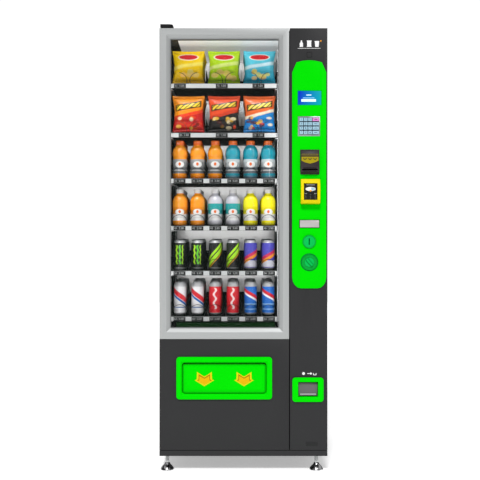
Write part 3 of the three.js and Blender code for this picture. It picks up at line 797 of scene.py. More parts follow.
def header_icons(mid):
    """Three plain pictograms in place of the maker's sign: a bottle, a bag and a cup."""
    z = 1872
    signs = {
        -34: [(-7, -14), (7, -14), (7, 2), (3, 8), (3, 14), (-3, 14), (-3, 8), (-7, 2)],
        0: [(-11, -14), (11, -14), (9, -10), (9, 10), (11, 14), (-11, 14), (-9, 10), (-9, -10)],
        34: [(-7, -14), (7, -14), (10, 12), (-10, 12)],
    }
    outlines = [[(mid + shift + x, z + y) for x, y in sign] for shift, sign in signs.items()]
    face = FRONT + 0.1
    raised("header_icons", "column_door", M["icon"], outlines, face, 0.5)
    raised("header_dot", "column_door", M["icon_orange"], [oval(mid + 51, z + 12, 3.2, 3.2, 20)], face, 0.5)
    raised("header_line", "column_door", M["icon"], [rectangle(mid - 50, z - 21, mid + 50, z - 19.4)],
           face, 0.4)


def display_face():
    low, high = box("display")
    dressed("display", "column_door", screen_glow("screen_lit", low, high), 0.5)
    face = low.y
    # painted shade: a darker green ring round the display, where its recess is in shade
    border("display_rim_shade", "column_door", M["groove_shade_green"],
           inset(low, high, -0.2, 2), inset(low, high, 2.2, 1), face + 0.2, 1.2, 0.3)
    raised("display_message", "column_door", M["bar_white"],
           [rectangle(253, 1618, 317, 1629), rectangle(275, 1645, 297, 1649)], face + 0.05, 0.25)
    raised("display_underline", "column_door", M["bar_dim"], [rectangle(260, 1633, 310, 1636)],
           face + 0.05, 0.2)


KEY_LABELS = ("123", "456", "789", "*0#")


def keypad_keys():
    face = box("keypad_body")[0].y
    first_low, last_high = box("key_4_1")[0], box("key_1_4")[1]
    # painted shade: dark strips laid on the plate between the keys, where the gaps between them are in shade
    lines = []
    for column in range(1, 4):
        left = box(f"key_1_{column}")[1].x + 0.7
        right = box(f"key_1_{column + 1}")[0].x - 0.7
        lines.append(rectangle(left, first_low.z - 2, right, last_high.z + 2))
    for row in range(1, 4):
        top = box(f"key_{row}_1")[0].z - 0.7
        base = box(f"key_{row + 1}_1")[1].z + 0.7
        lines.append(rectangle(first_low.x, base, last_high.x, top))
    raised("keypad_gap_shade_strips", "column_door", M["keypad_gap_shade"], lines, face + 0.1, 0.4)
    for row in range(1, 5):
        for column in range(1, 5):
            node = f"key_{row}_{column}"
            wide_top = row == 1 and column == 4
            dressed(node, node, M["clear_key"] if wide_top else M["key"], 1.6, 3)
            low, high = box(node)
            mid = (low + high) / 2
            if column < 4:
                lettering(f"{node}_label", node, M["key_mark"],
                          [(KEY_LABELS[row - 1][column - 1], mid.x, mid.z)], low.y, 11)
            else:
                raised(f"{node}_label", node, M["key_mark"],
                       [rectangle(mid.x - 7, mid.z - 1, mid.x + 7, mid.z + 1)],
                       low.y + 0.05, 0.3)


def acceptor_details():
    low, high = box("bill_acceptor")
    mid = middle("bill_acceptor").x
    half = 37
    top, base = 1376, 1351
    tongue = [
        (mid - half, base + 8), (mid - half * 0.6, base + 1), (mid, base - 5),
        (mid + half * 0.6, base + 1), (mid + half, base + 8), (mid + half, top), (mid - half, top),
    ]

    def nose_y(z):
        """The slope of the acceptor's hood, from its deepest line to its top."""
        along = (z - 1334) / (high.z - 8 - 1334)
        return FRONT - (24 - 12 * along) - 0.2

    def on_slope(name, look, outlines, lift, thick):
        piece = slabs(name, M[look], outlines, lambda z: nose_y(z) - lift, lambda z: nose_y(z) - lift - thick)
        soften(piece, 0.4)
        fixed(piece, "column_door")

    marks = [
        [(x - 8, 1372), (x, 1367), (x + 8, 1372), (x + 8, 1367), (x, 1361), (x - 8, 1367)]
        for x in (mid - 22, mid, mid + 22)
    ]
    on_slope("acceptor_band", "acceptor_band", [tongue], -1.0, 2.2)
    on_slope("acceptor_chevrons", "olive", marks, 1.0, 0.6)
    on_slope("acceptor_top_shade", "olive", [rectangle(mid - half, 1377.5, mid + half, 1383)], -0.5, 1.0)
    on_slope("acceptor_top_line", "acceptor_band", [rectangle(mid - half, 1387, mid + half, 1388.6)],
             -0.5, 1.0)
    raised("acceptor_mouth", "column_door", M["acceptor_shade"], [
        rectangle(mid - 29, 1324, mid + 29, 1329.5), rectangle(mid - 29, 1312.5, mid + 29, 1316),
    ], low.y + 0.2, 0.5)


def reader_details():
    low, high = box("card_reader")
    face = FRONT - 30
    left, right = low.x + 12.4, high.x - 12.4
    base, top = low.z + 18.4, high.z - 19.4
    blocks("reader_window", "column_door", [M["reader_black"]], [
        ((left, face - 2.2, base), (right, face + 0.5, top)),
    ], 0.7)
    mid = (left + right) / 2
    spot = face - 2.2
    z = base + 47
    raised("reader_badge", "column_door", M["icon"], [oval(mid, z, 22, 9, 28)], spot + 0.1, 0.4)
    raised("reader_badge_side", "column_door", M["key"], [oval(mid, z, 19, 7, 28, -80, 80)], spot - 0.25, 0.2)
    raised("reader_arrow", "column_door", M["icon_orange"], [
        [(mid - 6, z - 5), (mid, z - 13), (mid + 6, z - 5)],
    ], spot - 0.25, 0.3)
    ticks = [
        rectangle(mid + dx - 1, base + row - 0.7, mid + dx + 1, base + row + 0.7)
        for row in (8, 16, 24) for dx in (-20, 0, 20)
    ]
    raised("reader_marks", "column_door", M["tag_mark"], [
        rectangle(mid - 19, base + 64, mid + 19, base + 66),
        rectangle(mid - 26, base + 27, mid - 15, base + 28.4),
        rectangle(mid + 15, base + 27, mid + 26, base + 28.4),
    ] + ticks, spot + 0.1, 0.4)


def disc_details():
    slot_mid = middle("coin_slot_disc")
    face = box("coin_slot_disc")[0].y
    lathe("coin_slot_ring", "column_door", M["ring_green"], [
        (25.2, 0), (25.2, 1.2), (26.2, 1.8), (28.6, 1.6), (29.4, 0),
    ], (slot_mid.x, face + 0.4, slot_mid.z), "Y")
    x, z = 288, 916
    ring_face = FRONT - 9
    lean = math.radians(40)
    along = Vector((-math.sin(lean), 0, math.cos(lean)))
    across = Vector((math.cos(lean), 0, math.sin(lean)))
    dial = Vector((x, FRONT - 12.3, z))
    # painted shade: two dark lines along the edges of the lock's grip
    tube("lock_grip_shade_lines", "lock_handle", M["lock_edge_shade"], [
        [dial + side * 6.6 * across - along * reach, dial + side * 6.6 * across + along * reach]
        for side, reach in ((-1, 17), (1, 17))
    ], 0.9)
    lathe("lock_ring", "lock_handle", M["ring_green"], [
        (20.4, 0), (20.4, 0.9), (22, 1.3), (31, 1.3), (31.6, 2.4), (34, 2.2), (34.9, 1), (34.9, 0),
    ], (x, ring_face + 0.4, z), "Y")
    # painted shade: a dark ring round the lock, where the gap to the panel is in shade
    lathe("lock_outline_shade_ring", "column_door", M["lock_edge_shade"], [
        (35.8, 0), (35.8, 1.4), (36.6, 1.8), (38.4, 1.4), (39, 0),
    ], (x, FRONT - 5.8, z), "Y")


def cup_details():
    low, high = box("coin_cup_flap")
    blocks("cup_flap_lip", "coin_cup_flap", [M["lip_grey"]], [
        ((low.x + 6.5, FRONT + 0.4, low.z + 3.5), (high.x - 6.5, FRONT + 1.6, low.z + 11)),
    ], 0.5)
    x, z = 285, 429
    coin = oval(x - 22, z, 6, 6, 24)
    arrow = [
        (x - 6, z + 1.5), (x + 8, z + 1.5), (x + 8, z + 6), (x + 16, z),
        (x + 8, z - 6), (x + 8, z - 1.5), (x - 6, z - 1.5),
    ]
    tray_mark = [
        (x + 20, z - 7), (x + 34, z - 7), (x + 34, z + 2), (x + 31.5, z + 2),
        (x + 31.5, z - 4.5), (x + 22.5, z - 4.5), (x + 22.5, z + 2), (x + 20, z + 2),
    ]
    raised("coin_return_icon", "column_door", M["icon"], [coin, arrow, tray_mark], FRONT + 0.1, 0.5)


# ---------- trays ----------
def tag_centres(number):
    if number > 2:
        return [lane_x(lane) + 2 for lane in range(LANES)]
    return [lane_x(0) + (4 if number == 1 else 25), lane_x(2) + 31, lane_x(4) + 35]


def motors(low, high):
    """A gearbox and a smaller motor behind each lane."""
    items = []
    for lane in range(LANES):
        x, y, z = lane_x(lane), high.y + 0.6, low.z + COIL_HEIGHT
        items.append(((x - 26, y, z - 22), (x + 26, y + 30, z + 30), 0))
        items.append(((x - 12, y + 30, z - 4), (x + 12, y + 40, z + 20), 1))
    return items


def trays():
    for number in COIL_PITCHES:
        node = f"tray_{number}"
        dressed(node, node, M["tray_black"], 0.5)
        low, high = box(node)
        face, top, tag_half = low.y, low.z + RAIL_HEIGHT, 27
        places = tag_centres(number)
        price = "1.50" if number < 3 else "2.00"
        blocks(f"price_rail_{number}", node, [M["rail_white"]], [
            ((low.x + 2, face - 1.4, low.z + 0.6), (high.x - 2, face - 0.1, top - 0.4)),
        ], 0.4)
        blocks(f"price_tags_{number}", node, [M["tag_black"]], [
            ((x - tag_half, face - 3.4, low.z + 1.2), (x + tag_half, face - 1.2, top - 1.4)) for x in places
        ], 0.8)
        labels = [
            label for place, x in enumerate(places, 1)
            for label in ((f"{number}{place}", x - 17, low.z + 10.5), (price, x + 8, low.z + 10.5))
        ]
        lettering(f"tag_digits_{number}", node, M["tag_mark"], labels, face - 3.4, 13)
        blocks(f"coil_motors_{number}", node, [M["motor"], M["fin"]], motors(low, high), 1.5)


def coil_path(lane, tray, mirrored):
    """A spiral from its front end to the motor. In a pair for bags, one coil mirrors the other."""
    x, z, pitch = lane_x(lane), box(f"tray_{tray}")[0].z + COIL_HEIGHT, COIL_PITCHES[tray]
    hand = -1 if mirrored and lane % 2 else 1
    tip = math.radians(BAG_TIP_ANGLE if tray < 3 else DRINK_TIP_ANGLE)
    turns = COIL_LENGTH / pitch
    count = int(turns * COIL_STEPS)
    path = []
    for step in range(count + 1):
        angle = tip - 2 * math.pi * turns * step / count
        path.append((x + hand * COIL_RADIUS * math.cos(angle), COIL_TIP + COIL_LENGTH * step / count,
                     z + COIL_RADIUS * math.sin(angle)))
    last = path[-1]
    return path + [((x + last[0]) / 2, last[1] + 1, (z + last[2]) / 2),
                   (x, last[1] + 2, z), (x, last[1] + 24, z)]


def coils():
    for lane in range(LANES):
        node = f"coil_{lane + 1}"
        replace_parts(tube(f"{node}_wire", node, M["wire"], [coil_path(lane, 1, True)], WIRE_RADIUS), node)
    for number in range(2, 7):
        paths = [coil_path(lane, number, number == 2) for lane in range(LANES)]
        tube(f"coils_{number}", f"tray_{number}", M["wire"], paths, WIRE_RADIUS)


# ---------- bags: lengths in metres ----------
SIM_SCALE = 10                                        # cloth settles well at ten times life size
SIM_FRAMES = 40
FILM_PRESSURE = 9.0
COLUMNS, ROWS = 34, 36                                # faces of one film sheet
SEAL = 9 * MM
CRIMPS = 4                                            # folds across a seal
SIDE_BOW = 0.6                                        # share of the film's inward bow kept at the sides
EDGE_BOW = 0.25                                       # and at the two seals
WIRE_ROOM = 10.4 * MM                                 # half of the room between two turns of wire
FREE_ABOVE = 22 * MM                                  # height above the wire from where the film is free
PUFFS_SIZE = (147 * MM, 168 * MM, 48 * MM)


def snacks(n, u, v, colour, seed, count, limits, edge, tone):
    """Scattered round snacks. limits has the ranges of the middle's u and v and of the two radii."""
    rng = random.Random(seed)
    for _ in range(count):
        x, y, wide, tall = (rng.uniform(*limit) for limit in limits)
        colour = n.mix(n.oval(u, v, (x, y), (wide, tall), edge) * 0.8, colour, tone(rng))
    return colour


def crinkled(n, colour, dark, specular):
    """Shading and creases of printed film."""
    shade = n.noise(26, 4)
    n.bump(n.noise(38, 4) + n.noise(160, 2) * 0.2, 0.0012, 0.45)
    colour = n.mix(n.span(shade, 0.35, 0.7, 0.0, 0.22), colour, n.mix(0.7, colour, dark))
    return n.finish(colour, n.span(shade, 0.3, 0.7, 0.26, 0.4), 0.0, specular)


def film(name, base, patch, accent, low_colour, seed):
    """Printed snack film: a patch at the top, a lighter streak, round snacks and a darker foot."""
    n = Nodes(name)
    u, v, _ = n.axes("UV")
    height = v + (n.noise(9, 3) - 0.5) * 0.10
    colour = n.mix(n.span(height, 0.1, 0.55), low_colour, base)
    colour = n.mix(n.band(height + u * -0.18, 0.40, 0.50, 0.02) * 0.75, colour, accent)
    colour = snacks(n, u, v, colour, seed, 7, ((0.2, 0.8), (0.16, 0.36), (0.07, 0.12), (0.05, 0.09)), 0.25,
                    lambda rng: rgb(rng.randint(225, 250), rng.randint(190, 225), 110))
    colour = n.mix(n.oval(u, v, (0.5, 0.79), (0.31, 0.105), 0.12), colour, rgb(245, 240, 225))
    colour = n.mix(n.oval(u, v, (0.5, 0.79), (0.28, 0.085), 0.12), colour, patch)
    return crinkled(n, colour, (0.02, 0.01, 0.0, 1), 0.22)


def split_film(name, top, bottom, stripe, patch, seed):
    """Printed snack film in two fields with a slanting border and a hatched dark panel on the upper one."""
    n = Nodes(name)
    u, v, _ = n.axes("UV")
    slant = v + (u - 0.5) * -0.22 + (n.noise(16, 3) - 0.5) * 0.08
    colour = n.mix(n.span(slant, 0.44, 0.46), bottom, top)
    colour = n.mix(n.band(slant, 0.45, 0.53, 0.01), colour, stripe)
    tones = (rgb(248, 196, 60), rgb(226, 64, 20), rgb(250, 232, 190), rgb(90, 20, 10))
    colour = snacks(n, u, v, colour, seed, 15, ((0.15, 0.85), (0.1, 0.40), (0.04, 0.1), (0.03, 0.06)), 0.3,
                    lambda rng: rng.choice(tones))
    tilt = v + u * -0.16
    colour = n.mix(n.band(tilt, 0.545, 0.715, 0.012) * n.band(u, 0.10, 0.90, 0.02), colour, rgb(26, 20, 16))
    wavy = tilt + n.math("SINE", u * 19) * 0.012
    bars = n.span(n.math("SINE", u * 46 + v * -60), -0.8, -0.5)
    panel = n.band(wavy, 0.575, 0.685, 0.012) * n.band(u, 0.15, 0.85, 0.02)
    colour = n.mix(panel * bars, colour, patch)
    return crinkled(n, colour, (0.01, 0.005, 0.0, 1), 0.35)


def inflated(width, height, seed):
    """Two film sheets joined at their edges and blown up by cloth pressure: places by (side, row, column)."""
    rng = random.Random(seed)
    points, index, faces = [], {}, []
    for side in (-1, 1):
        for row in range(ROWS + 1):
            for column in range(COLUMNS + 1):
                on_edge = row in (0, ROWS) or column in (0, COLUMNS)
                if on_edge and side == 1:
                    index[side, row, column] = index[-1, row, column]
                    continue
                u, v = column / COLUMNS, row / ROWS
                start = 0.0 if on_edge else (0.02 * math.sin(math.pi * u) * math.sin(math.pi * v)
                                             + rng.uniform(0, 0.004))
                index[side, row, column] = len(points)
                points.append(((u - 0.5) * (width * SIM_SCALE), side * start * SIM_SCALE,
                               v * (height * SIM_SCALE)))
    for side in (-1, 1):
        for row in range(ROWS):
            for column in range(COLUMNS):
                quad = [index[side, row, column], index[side, row, column + 1],
                        index[side, row + 1, column + 1], index[side, row + 1, column]]
                faces.append(quad if side == -1 else quad[::-1])
    mesh = bpy.data.meshes.new("film_sheet")
    mesh.from_pydata(points, [], faces)
    sheet = link(bpy.data.objects.new("film_sheet", mesh))
    cloth = sheet.modifiers.new("inflate", "CLOTH")
    settings = cloth.settings
    settings.quality = 7
    settings.mass = 0.25
    settings.tension_stiffness = 60
    settings.compression_stiffness = 60
    settings.shear_stiffness = 30
    settings.bending_stiffness = 0.15
    settings.use_pressure = True
    settings.uniform_pressure_force = FILM_PRESSURE
    settings.effector_weights.gravity = 0
    cloth.point_cache.frame_start = 1
    cloth.point_cache.frame_end = SIM_FRAMES
    scene = bpy.context.scene
    for step in range(1, SIM_FRAMES + 1):
        scene.frame_set(step)
    settled = sheet.evaluated_get(bpy.context.evaluated_depsgraph_get())
    places = [vertex.co / SIM_SCALE for vertex in settled.data.vertices]
    bpy.data.objects.remove(sheet)
    bpy.data.meshes.remove(mesh)
    scene.frame_set(1)
    return {key: places[number].copy() for key, number in index.items()}


def bag_mesh(blown, size, flip, turn):
    """A pillow bag from settled film, with crimped fins. flip and turn, 1 or -1, vary its creases."""
    width, height, bulge = size
    low = Vector([min(place[axis] for place in blown.values()) for axis in range(3)])
    high = Vector([max(place[axis] for place in blown.values()) for axis in range(3)])
    inner = height - 2 * SEAL

    def placed(key):
        _, row, column = key
        place = blown[key]
        across = (place.x - (low.x + high.x) / 2) / (high.x - low.x)
        up = (place.z - low.z) / (high.z - low.z)
        across = SIDE_BOW * across + (1 - SIDE_BOW) * (column / COLUMNS - 0.5)
        up = EDGE_BOW * up + (1 - EDGE_BOW) * row / ROWS
        depth = (place.y - (low.y + high.y) / 2) / (high.y - low.y)
        return (flip * across * width, turn * depth * bulge, SEAL + up * inner)

    def printed(column):
        return column / COLUMNS if flip > 0 else 1 - column / COLUMNS

    verts, faces, uvs, seen = [], [], [], {}
    for side in (-1, 1):
        for row in range(ROWS + 1):
            for column in range(COLUMNS + 1):
                edge = row in (0, ROWS) or column in (0, COLUMNS)
                key = (-1 if edge else side, row, column)
                if key not in seen:
                    seen[key] = len(verts)
                    verts.append(placed(key))
                    uvs.append((printed(column), (SEAL + row / ROWS * inner) / height))
                seen[side, row, column] = seen[key]
        for row in range(ROWS):
            for column in range(COLUMNS):
                faces.append((seen[side, row, column], seen[side, row, column + 1],
                              seen[side, row + 1, column + 1], seen[side, row + 1, column]))
    for row, way in ((0, -1), (ROWS, 1)):
        start = len(verts)
        for column in range(COLUMNS + 1):
            x, y, z = placed((-1, row, column))
            tooth = (0.5 if column % 2 else -0.5) * MM
            for step in range(CRIMPS + 1):
                out = way * (step / CRIMPS * SEAL - 0.6 * MM) + (way * tooth if step == CRIMPS else 0)
                crimp = 0.35 * MM * (1 if step % 2 else -1)
                for face in (-1, 1):
                    verts.append((x, y * (1 - 0.5 * step / CRIMPS) + crimp + face * 0.2 * MM, z + out))
                    uvs.append((printed(column), max(0, min(1, (z + out) / height))))
        block = 2 * (CRIMPS + 1)
        for column in range(COLUMNS):
            first = start + column * block
            for a in range(first, first + 2 * CRIMPS):
                faces.append((a, a + block, a + block + 2, a + 2))
            for a in (first, first + 2 * CRIMPS):
                faces.append((a, a + block, a + block + 1, a + 1))
        for first in (start, start + COLUMNS * block):
            for a in range(first, first + 2 * CRIMPS, 2):
                faces.append((a, a + 1, a + 3, a + 2))
    return verts, faces, uvs


def squeezed(y, z, coil_top):
    """Film between two turns of wire can't be thicker than the room there."""
    if z > coil_top + FREE_ABOVE:
        return y
    room = WIRE_ROOM + max(0.0, z - coil_top) * 0.8
    return max(-room, min(room, y))


def stock_bags(name, body, material, place, size, coil_top, blown, variant):
    """The equal bags of one lane, the first one with its underside's middle at place."""
    x, y, seat = place
    verts, faces, uvs = bag_mesh(blown, size, -1 if variant == 2 else 1, -1 if variant == 3 else 1)
    pitch = COIL_PITCHES[1] * MM
    places = [(x + vx, y + squeezed(vy, vz + seat, coil_top) + copy * pitch, seat + vz)
              for copy in range(ROW_COPIES) for vx, vy, vz in verts]
    mesh = bpy.data.meshes.new(name)
    mesh.from_pydata(places, [], [tuple(copy * len(verts) + index for index in face)
                                  for copy in range(ROW_COPIES) for face in faces])
    layer = mesh.uv_layers.new(name="UVMap")
    for polygon in mesh.polygons:
        for loop in polygon.loop_indices:
            layer.data[loop].uv = uvs[mesh.loops[loop].vertex_index % len(uvs)]
        polygon.use_smooth = True
    mesh.materials.append(material)
    obj = link(bpy.data.objects.new(name, mesh))
    bm = bmesh.new()
    bm.from_mesh(mesh)
    bmesh.ops.recalc_face_normals(bm, faces=bm.faces)
    bm.to_mesh(mesh)
    bm.free()
    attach(obj, body)
    return obj


def bags():
    red = rgb(214, 30, 40)
    films = [
        film("film_yellow", rgb(255, 214, 0), red, rgb(255, 238, 120), rgb(226, 176, 0), 3),
        film("film_lime", rgb(184, 224, 26), red, rgb(232, 244, 150), rgb(166, 206, 14), 5),
        film("film_sky", rgb(92, 204, 226), red, rgb(232, 248, 252), rgb(24, 160, 196), 8),
    ]
    low, high = box_in_metres("snack_bag_1")
    blown = inflated(high.x - low.x, high.z - low.z - 2 * SEAL, 4)
    for number, look in enumerate(films, 1):
        node = f"snack_bag_{number}"
        low, high = box_in_metres(node)
        place = ((low.x + high.x) / 2, (low.y + high.y) / 2, low.z)
        obj = stock_bags(f"snack_pack_{number}", node, look, place,
                         (high.x - low.x, high.z - low.z, high.y - low.y),
                         (box("tray_1")[0].z + COIL_TOP) * MM, blown, number)
        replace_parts(obj, node)
    films = [
        split_film("film_orange_red", rgb(246, 146, 20), rgb(206, 30, 28),
                   rgb(236, 60, 30), rgb(250, 214, 40), 21),
        split_film("film_red_black", rgb(232, 78, 34), rgb(30, 26, 26),
                   rgb(210, 60, 30), rgb(246, 206, 60), 22),
        split_film("film_orange_blue", rgb(232, 104, 44), rgb(28, 130, 204),
                   rgb(240, 226, 200), rgb(250, 222, 90), 23),
    ]
    blown = inflated(PUFFS_SIZE[0], PUFFS_SIZE[1] - 2 * SEAL, 9)
    floor = box("tray_2")[0].z
    for number, look in enumerate(films, 1):
        place = at(lane_x(2 * number - 2) + LANE_PITCH / 2, COIL_TIP + COIL_PITCHES[2] / 2, floor + BAG_SEAT)
        stock_bags(f"puffs_pack_{number}", "tray_2", look, place, PUFFS_SIZE,
                   (floor + COIL_TOP) * MM, blown, number)


# ---------- bottles and cans ----------
def bottle_liquid(name, drink, label_low, label_high, cap_from, cap, foot, extra=None):
    """A filled bottle by height: drink, a two-part label and a cap."""
    n = Nodes(name)
    u, v, _ = n.axes("UV")
    around = n.math("ABSOLUTE", n.math("FRACT", u + 0.5) - 0.5)
    colour = n.mix(n.span(n.noise(20, 3), 0.3, 0.7, 0.0, 0.25), drink,
                   tuple(min(1, c * 1.5 + 0.03) for c in drink[:3]) + (1,))
    printed = n.mix(n.span(v, 0.28, 0.32), label_low, label_high)
    strokes = n.span(n.math("SINE", u * 150 + n.noise(60, 2) * 8), 0.35, 0.6)
    printed = n.mix(strokes * n.band(v, 0.31, 0.42, 0.01) * 0.75, printed, rgb(40, 40, 44))
    printed = n.mix(n.oval(around, v, (0.0, 0.36), (0.10, 0.085), 0.1), printed, rgb(236, 236, 234))
    printed = n.mix(n.oval(around, v, (0.0, 0.37), (0.028, 0.045), 0.2), printed, rgb(232, 110, 40))
    printed = n.mix(n.band(v, 0.19, 0.22) * 0.8, printed, rgb(220, 220, 218))
    colour = n.mix(n.band(v, 0.12, 0.50), colour, printed)
    if extra:
        colour = n.mix(n.band(v, extra[0], extra[1]), colour, extra[2])
    colour = n.mix(n.span(v, 0.0, 0.10, 1.0, 0.0), colour, foot)
    colour = n.mix(n.span(v, cap_from - 0.003, cap_from + 0.003), colour, cap)
    ribs = n.math("SINE", u * (2 * math.pi * 60))
    n.bump(ribs * n.span(v, cap_from, cap_from + 0.01), 0.0004, 0.6)
    return n.finish(colour, n.span(n.noise(60, 3), 0.3, 0.7, 0.06, 0.14), 0.0, 0.7)


def can_print(name, ground, shapes, lid_from=0.945):
    """A printed drink can. shapes are (kind, numbers, colour) laid over the ground in order."""
    n = Nodes(name)
    u, v, _ = n.axes("UV")
    around = n.math("FRACT", u + 0.5) - 0.5
    colour = n.tint(ground, 0.06, n.noise(40, 3))
    for kind, (low, high, *shape), tone in shapes:
        if kind == "slant":
            mask = n.band(v + around * shape[0], low, high)
        elif kind == "stripe":
            wave = n.math("SINE", v * shape[1]) * shape[0]
            mask = n.band(around + wave, low, high, 0.003) * n.band(v, 0.16, 0.86, 0.01)
        else:
            mask = n.band(v, low, high, 0.003)
        colour = n.mix(mask, colour, tone)
    lid = n.span(v, lid_from - 0.002, lid_from + 0.002)
    metal = n.math("ADD", lid, n.span(v, 0.033, 0.037, 1, 0), clamp=True)
    n.bump(n.noise(300, 2), 0.00003, 0.3)
    return n.finish(n.mix(metal, colour, rgb(196, 198, 200)), n.span(n.noise(50, 3), 0.3, 0.7, 0.3, 0.42),
                    metal * 0.25, 0.5)


def curved(points):
    """Cuts each corner of a profile into two, twice, so that it reads as curves."""
    for _ in range(2):
        smooth = [points[0]]
        for first, second in zip(points, points[1:]):
            for part in (0.25, 0.75):
                smooth.append(tuple(a + (b - a) * part for a, b in zip(first, second)))
        points = smooth + [points[-1]]
    return points


def can_profile(height, radius):
    lid, foot = radius - 6, radius - 9
    return [
        (0, 5), (foot - 4, 4.5), (foot - 1, 1), (foot + 0.6, 0), (foot + 2, 0.8), (radius - 1.6, 6),
        (radius - 0.3, 9), (radius, 12), (radius, height - 17), (radius - 0.4, height - 13),
        (radius - 2.2, height - 8.6), (lid + 1.4, height - 3), (lid + 0.8, height - 1.6),
        (lid + 1.0, height - 0.5), (lid + 0.4, height), (lid - 0.6, height - 0.6),
        (lid - 1.2, height - 4.5), (lid - 3, height - 5.4), (0, height - 5),
    ]


BOTTLE_BASE = [(0, 4), (20, 4), (28, 0), (33, 2), (34.5, 12)]
PROFILES = {                                          # (radius, height) of a pack, by tray
    3: curved(BOTTLE_BASE + [
        (34.5, 84), (31.5, 92), (31.5, 98), (34.5, 106), (34.6, 118), (32, 136), (22, 150), (17.5, 154),
    ]) + [(17.5, 155), (19, 155.4), (19.6, 157), (19.6, 172.6), (18.6, 174.6), (0, 175)],
    4: curved(BOTTLE_BASE + [
        (34.5, 60), (33.4, 64), (34.5, 70), (34.5, 98), (33.6, 102), (34.5, 106), (33, 119), (27, 133),
        (17, 141), (14.5, 147),
    ]) + [(14.5, 148), (16.2, 148.4), (16.8, 150), (16.8, 164.4), (16, 165.6), (0, 166)],
    5: can_profile(134, 29.5),
    6: can_profile(148, 28.5),
}


def drink_looks():
    """The looks side by side in each tray, as (name of the pack, material)."""
    white, orange, teal = rgb(236, 236, 234), rgb(250, 150, 22), rgb(24, 150, 170)
    black, lime, cap = rgb(24, 25, 25), rgb(168, 226, 30), rgb(240, 108, 30)
    band = rgb(40, 160, 160)
    bottles = {
        3: [("sport_orange", "drink_orange", orange, rgb(112, 114, 116), rgb(160, 162, 162), 0.885, cap,
             rgb(206, 100, 16)),
            ("sport_teal", "drink_teal", teal, rgb(104, 112, 118), rgb(196, 204, 206), 0.885, cap,
             rgb(96, 104, 112))],
        4: [("juice_orange", "juice_orange", orange, white, rgb(236, 140, 20), 0.89, white,
             rgb(190, 110, 30)),
            ("water_clear", "water_clear", rgb(196, 196, 204), rgb(236, 236, 236), band, 0.89,
             rgb(236, 236, 236), rgb(120, 122, 124), (0.48, 0.60, band)),
            ("juice_yellow", "juice_yellow", rgb(250, 236, 10), rgb(236, 236, 232), rgb(236, 222, 10), 0.89,
             white, rgb(168, 160, 20))],
    }
    cans = {
        5: [("can_green_line", black, [
            ("stripe", (-0.10, -0.055, 0.012, 30), lime),
            ("stripe", (-0.02, 0.03, 0.012, 26), rgb(96, 190, 40)),
            ("stripe", (0.06, 0.085, 0.01, 34), lime)]),
            ("can_lime_splash", black, [
                ("slant", (0.34, 0.52, -1.6), lime), ("slant", (0.58, 0.70, -1.6), lime),
                ("slant", (0.26, 0.30, -1.6), rgb(238, 170, 30))]),
            ("can_violet", rgb(74, 70, 176), [
                ("band", (0.06, 0.30), rgb(214, 214, 224)), ("slant", (0.32, 0.44, -0.8), rgb(238, 150, 40)),
                ("slant", (0.44, 0.56, -0.8), rgb(206, 40, 86))])],
        6: [("can_white", rgb(230, 230, 232), [
            ("slant", (0.52, 0.70, 0.9), rgb(214, 26, 44)), ("slant", (0.42, 0.50, 0.9), rgb(20, 96, 176)),
            ("band", (0.20, 0.23), rgb(30, 100, 170))], 0.90),
            ("can_red", rgb(214, 28, 42), [("stripe", (-0.035, 0.02, 0.03, 22), rgb(242, 214, 214))], 0.90),
            ("can_blue", rgb(24, 104, 196), [
                ("slant", (0.60, 0.72, 0.7), rgb(216, 30, 48)),
                ("slant", (0.53, 0.60, 0.7), rgb(236, 238, 242)),
                ("band", (0.30, 0.34), rgb(150, 196, 236)),
                ("band", (0.14, 0.17), rgb(150, 196, 236))], 0.90)],
    }
    looks = {tray: [(name, bottle_liquid(*look)) for name, *look in rows] for tray, rows in bottles.items()}
    looks.update({tray: [(look[0], can_print(*look)) for look in rows] for tray, rows in cans.items()})
    return looks


def drinks():
    for tray, looks in drink_looks().items():
        pitch = COIL_PITCHES[tray]
        # a quarter turn before the coil is at its side
        first = COIL_TIP + pitch * (DRINK_TIP_ANGLE + 90) / 360
        z = box(f"tray_{tray}")[0].z + PACK_HEIGHT + (CAN_LIFT if tray > 4 else 0)
        for lane in range(LANES):
            name, material = looks[lane * len(looks) // LANES]
            bm = bmesh.new()
            uv = bm.loops.layers.uv.new("UVMap")
            for copy in range(ROW_COPIES):
                add_lathe(bm, PROFILES[tray], (lane_x(lane), first + copy * pitch, z), segments=36, uv=uv)
            obj = from_bmesh(f"{name}_lane_{lane + 1}_tray_{tray}", bm, [material])
            split_sharp(obj, 50)
            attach(obj, f"tray_{tray}")


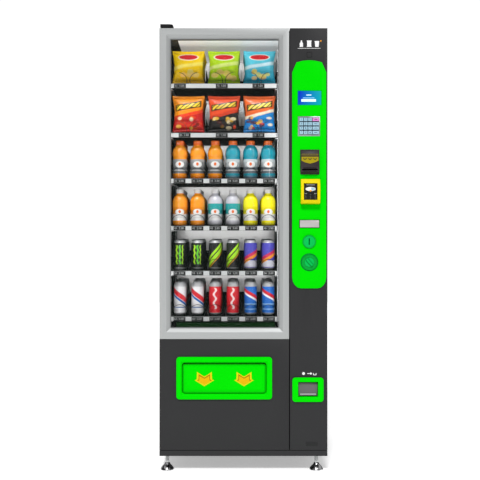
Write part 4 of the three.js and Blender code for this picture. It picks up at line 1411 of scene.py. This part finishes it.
# ---------- electronics behind the column door ----------
def electronics():
    blocks("coin_mechanism", "column_door", [M["acceptor"], M["zinc"]], [
        ((240, FRONT + 62, 960), (330, FRONT + 130, 1056), 0),
        ((244, FRONT + 66, 800), (326, FRONT + 126, 958), 1),
    ], 2)
    blocks("banknote_box", "column_door", [M["acceptor"]],
           [((254, FRONT + 86, 1310), (330, FRONT + 128, 1470))], 2)
    chips = [
        ((208, FRONT + y, z), (216, FRONT + y + 34, z + 26), 1)
        for z in range(1270, 1550, 70) for y in range(320, 506, 62)
    ]
    blocks("control_board", "cabinet", [M["board"], M["tag_black"]],
           [((206, FRONT + 300, 1240), (208, FRONT + 520, 1560), 0)] + chips, 0.6)
    blocks("power_supply", "cabinet", [M["zinc"]], [((206, FRONT + 300, 900), (300, FRONT + 500, 1010))], 2)


def cooling():
    dressed("cooling_unit", "cabinet", M["fin"], 1.2)
    steps = 24
    tube("cooling_pipes", "cabinet", M["copper"], [
        [(side * 40 - 160 - 30 * math.cos(math.pi * step / steps),
          FRONT + 445 + 50 * math.sin(math.pi * step / steps) + step * 1.5, 170 + side * 24)
         for step in range(steps + 1)]
        for side in (0, 1)
    ], 4)


def fasteners():
    """Screw heads on the back cover."""
    bm = bmesh.new()
    low, high = box("rear_air_panel")
    head = [(0, -0.1), (4.6, -0.1), (4.4, 1.2), (3, 1.9), (0, 2.1)]
    for x in (low.x + 16, (low.x + high.x) / 2, high.x - 16):
        for row in range(7):
            z = low.z + 20 + row * 301
            if z < high.z - 10:
                add_lathe(bm, head, (x, high.y, z), "Y", 20)
    mirror = Matrix.Translation(at(0, 2 * high.y, 0)) @ Matrix.Scale(-1, 4, (0, 1, 0))
    bmesh.ops.transform(bm, matrix=mirror, verts=bm.verts)
    bmesh.ops.reverse_faces(bm, faces=bm.faces)
    fixed(from_bmesh("rear_screws", bm, [M["zinc"]]), "cabinet")


studio()
cabinet()
feet()
main_door()
delivery()
column_door()
trays()
coils()
bags()
drinks()
electronics()
cooling()
fasteners()
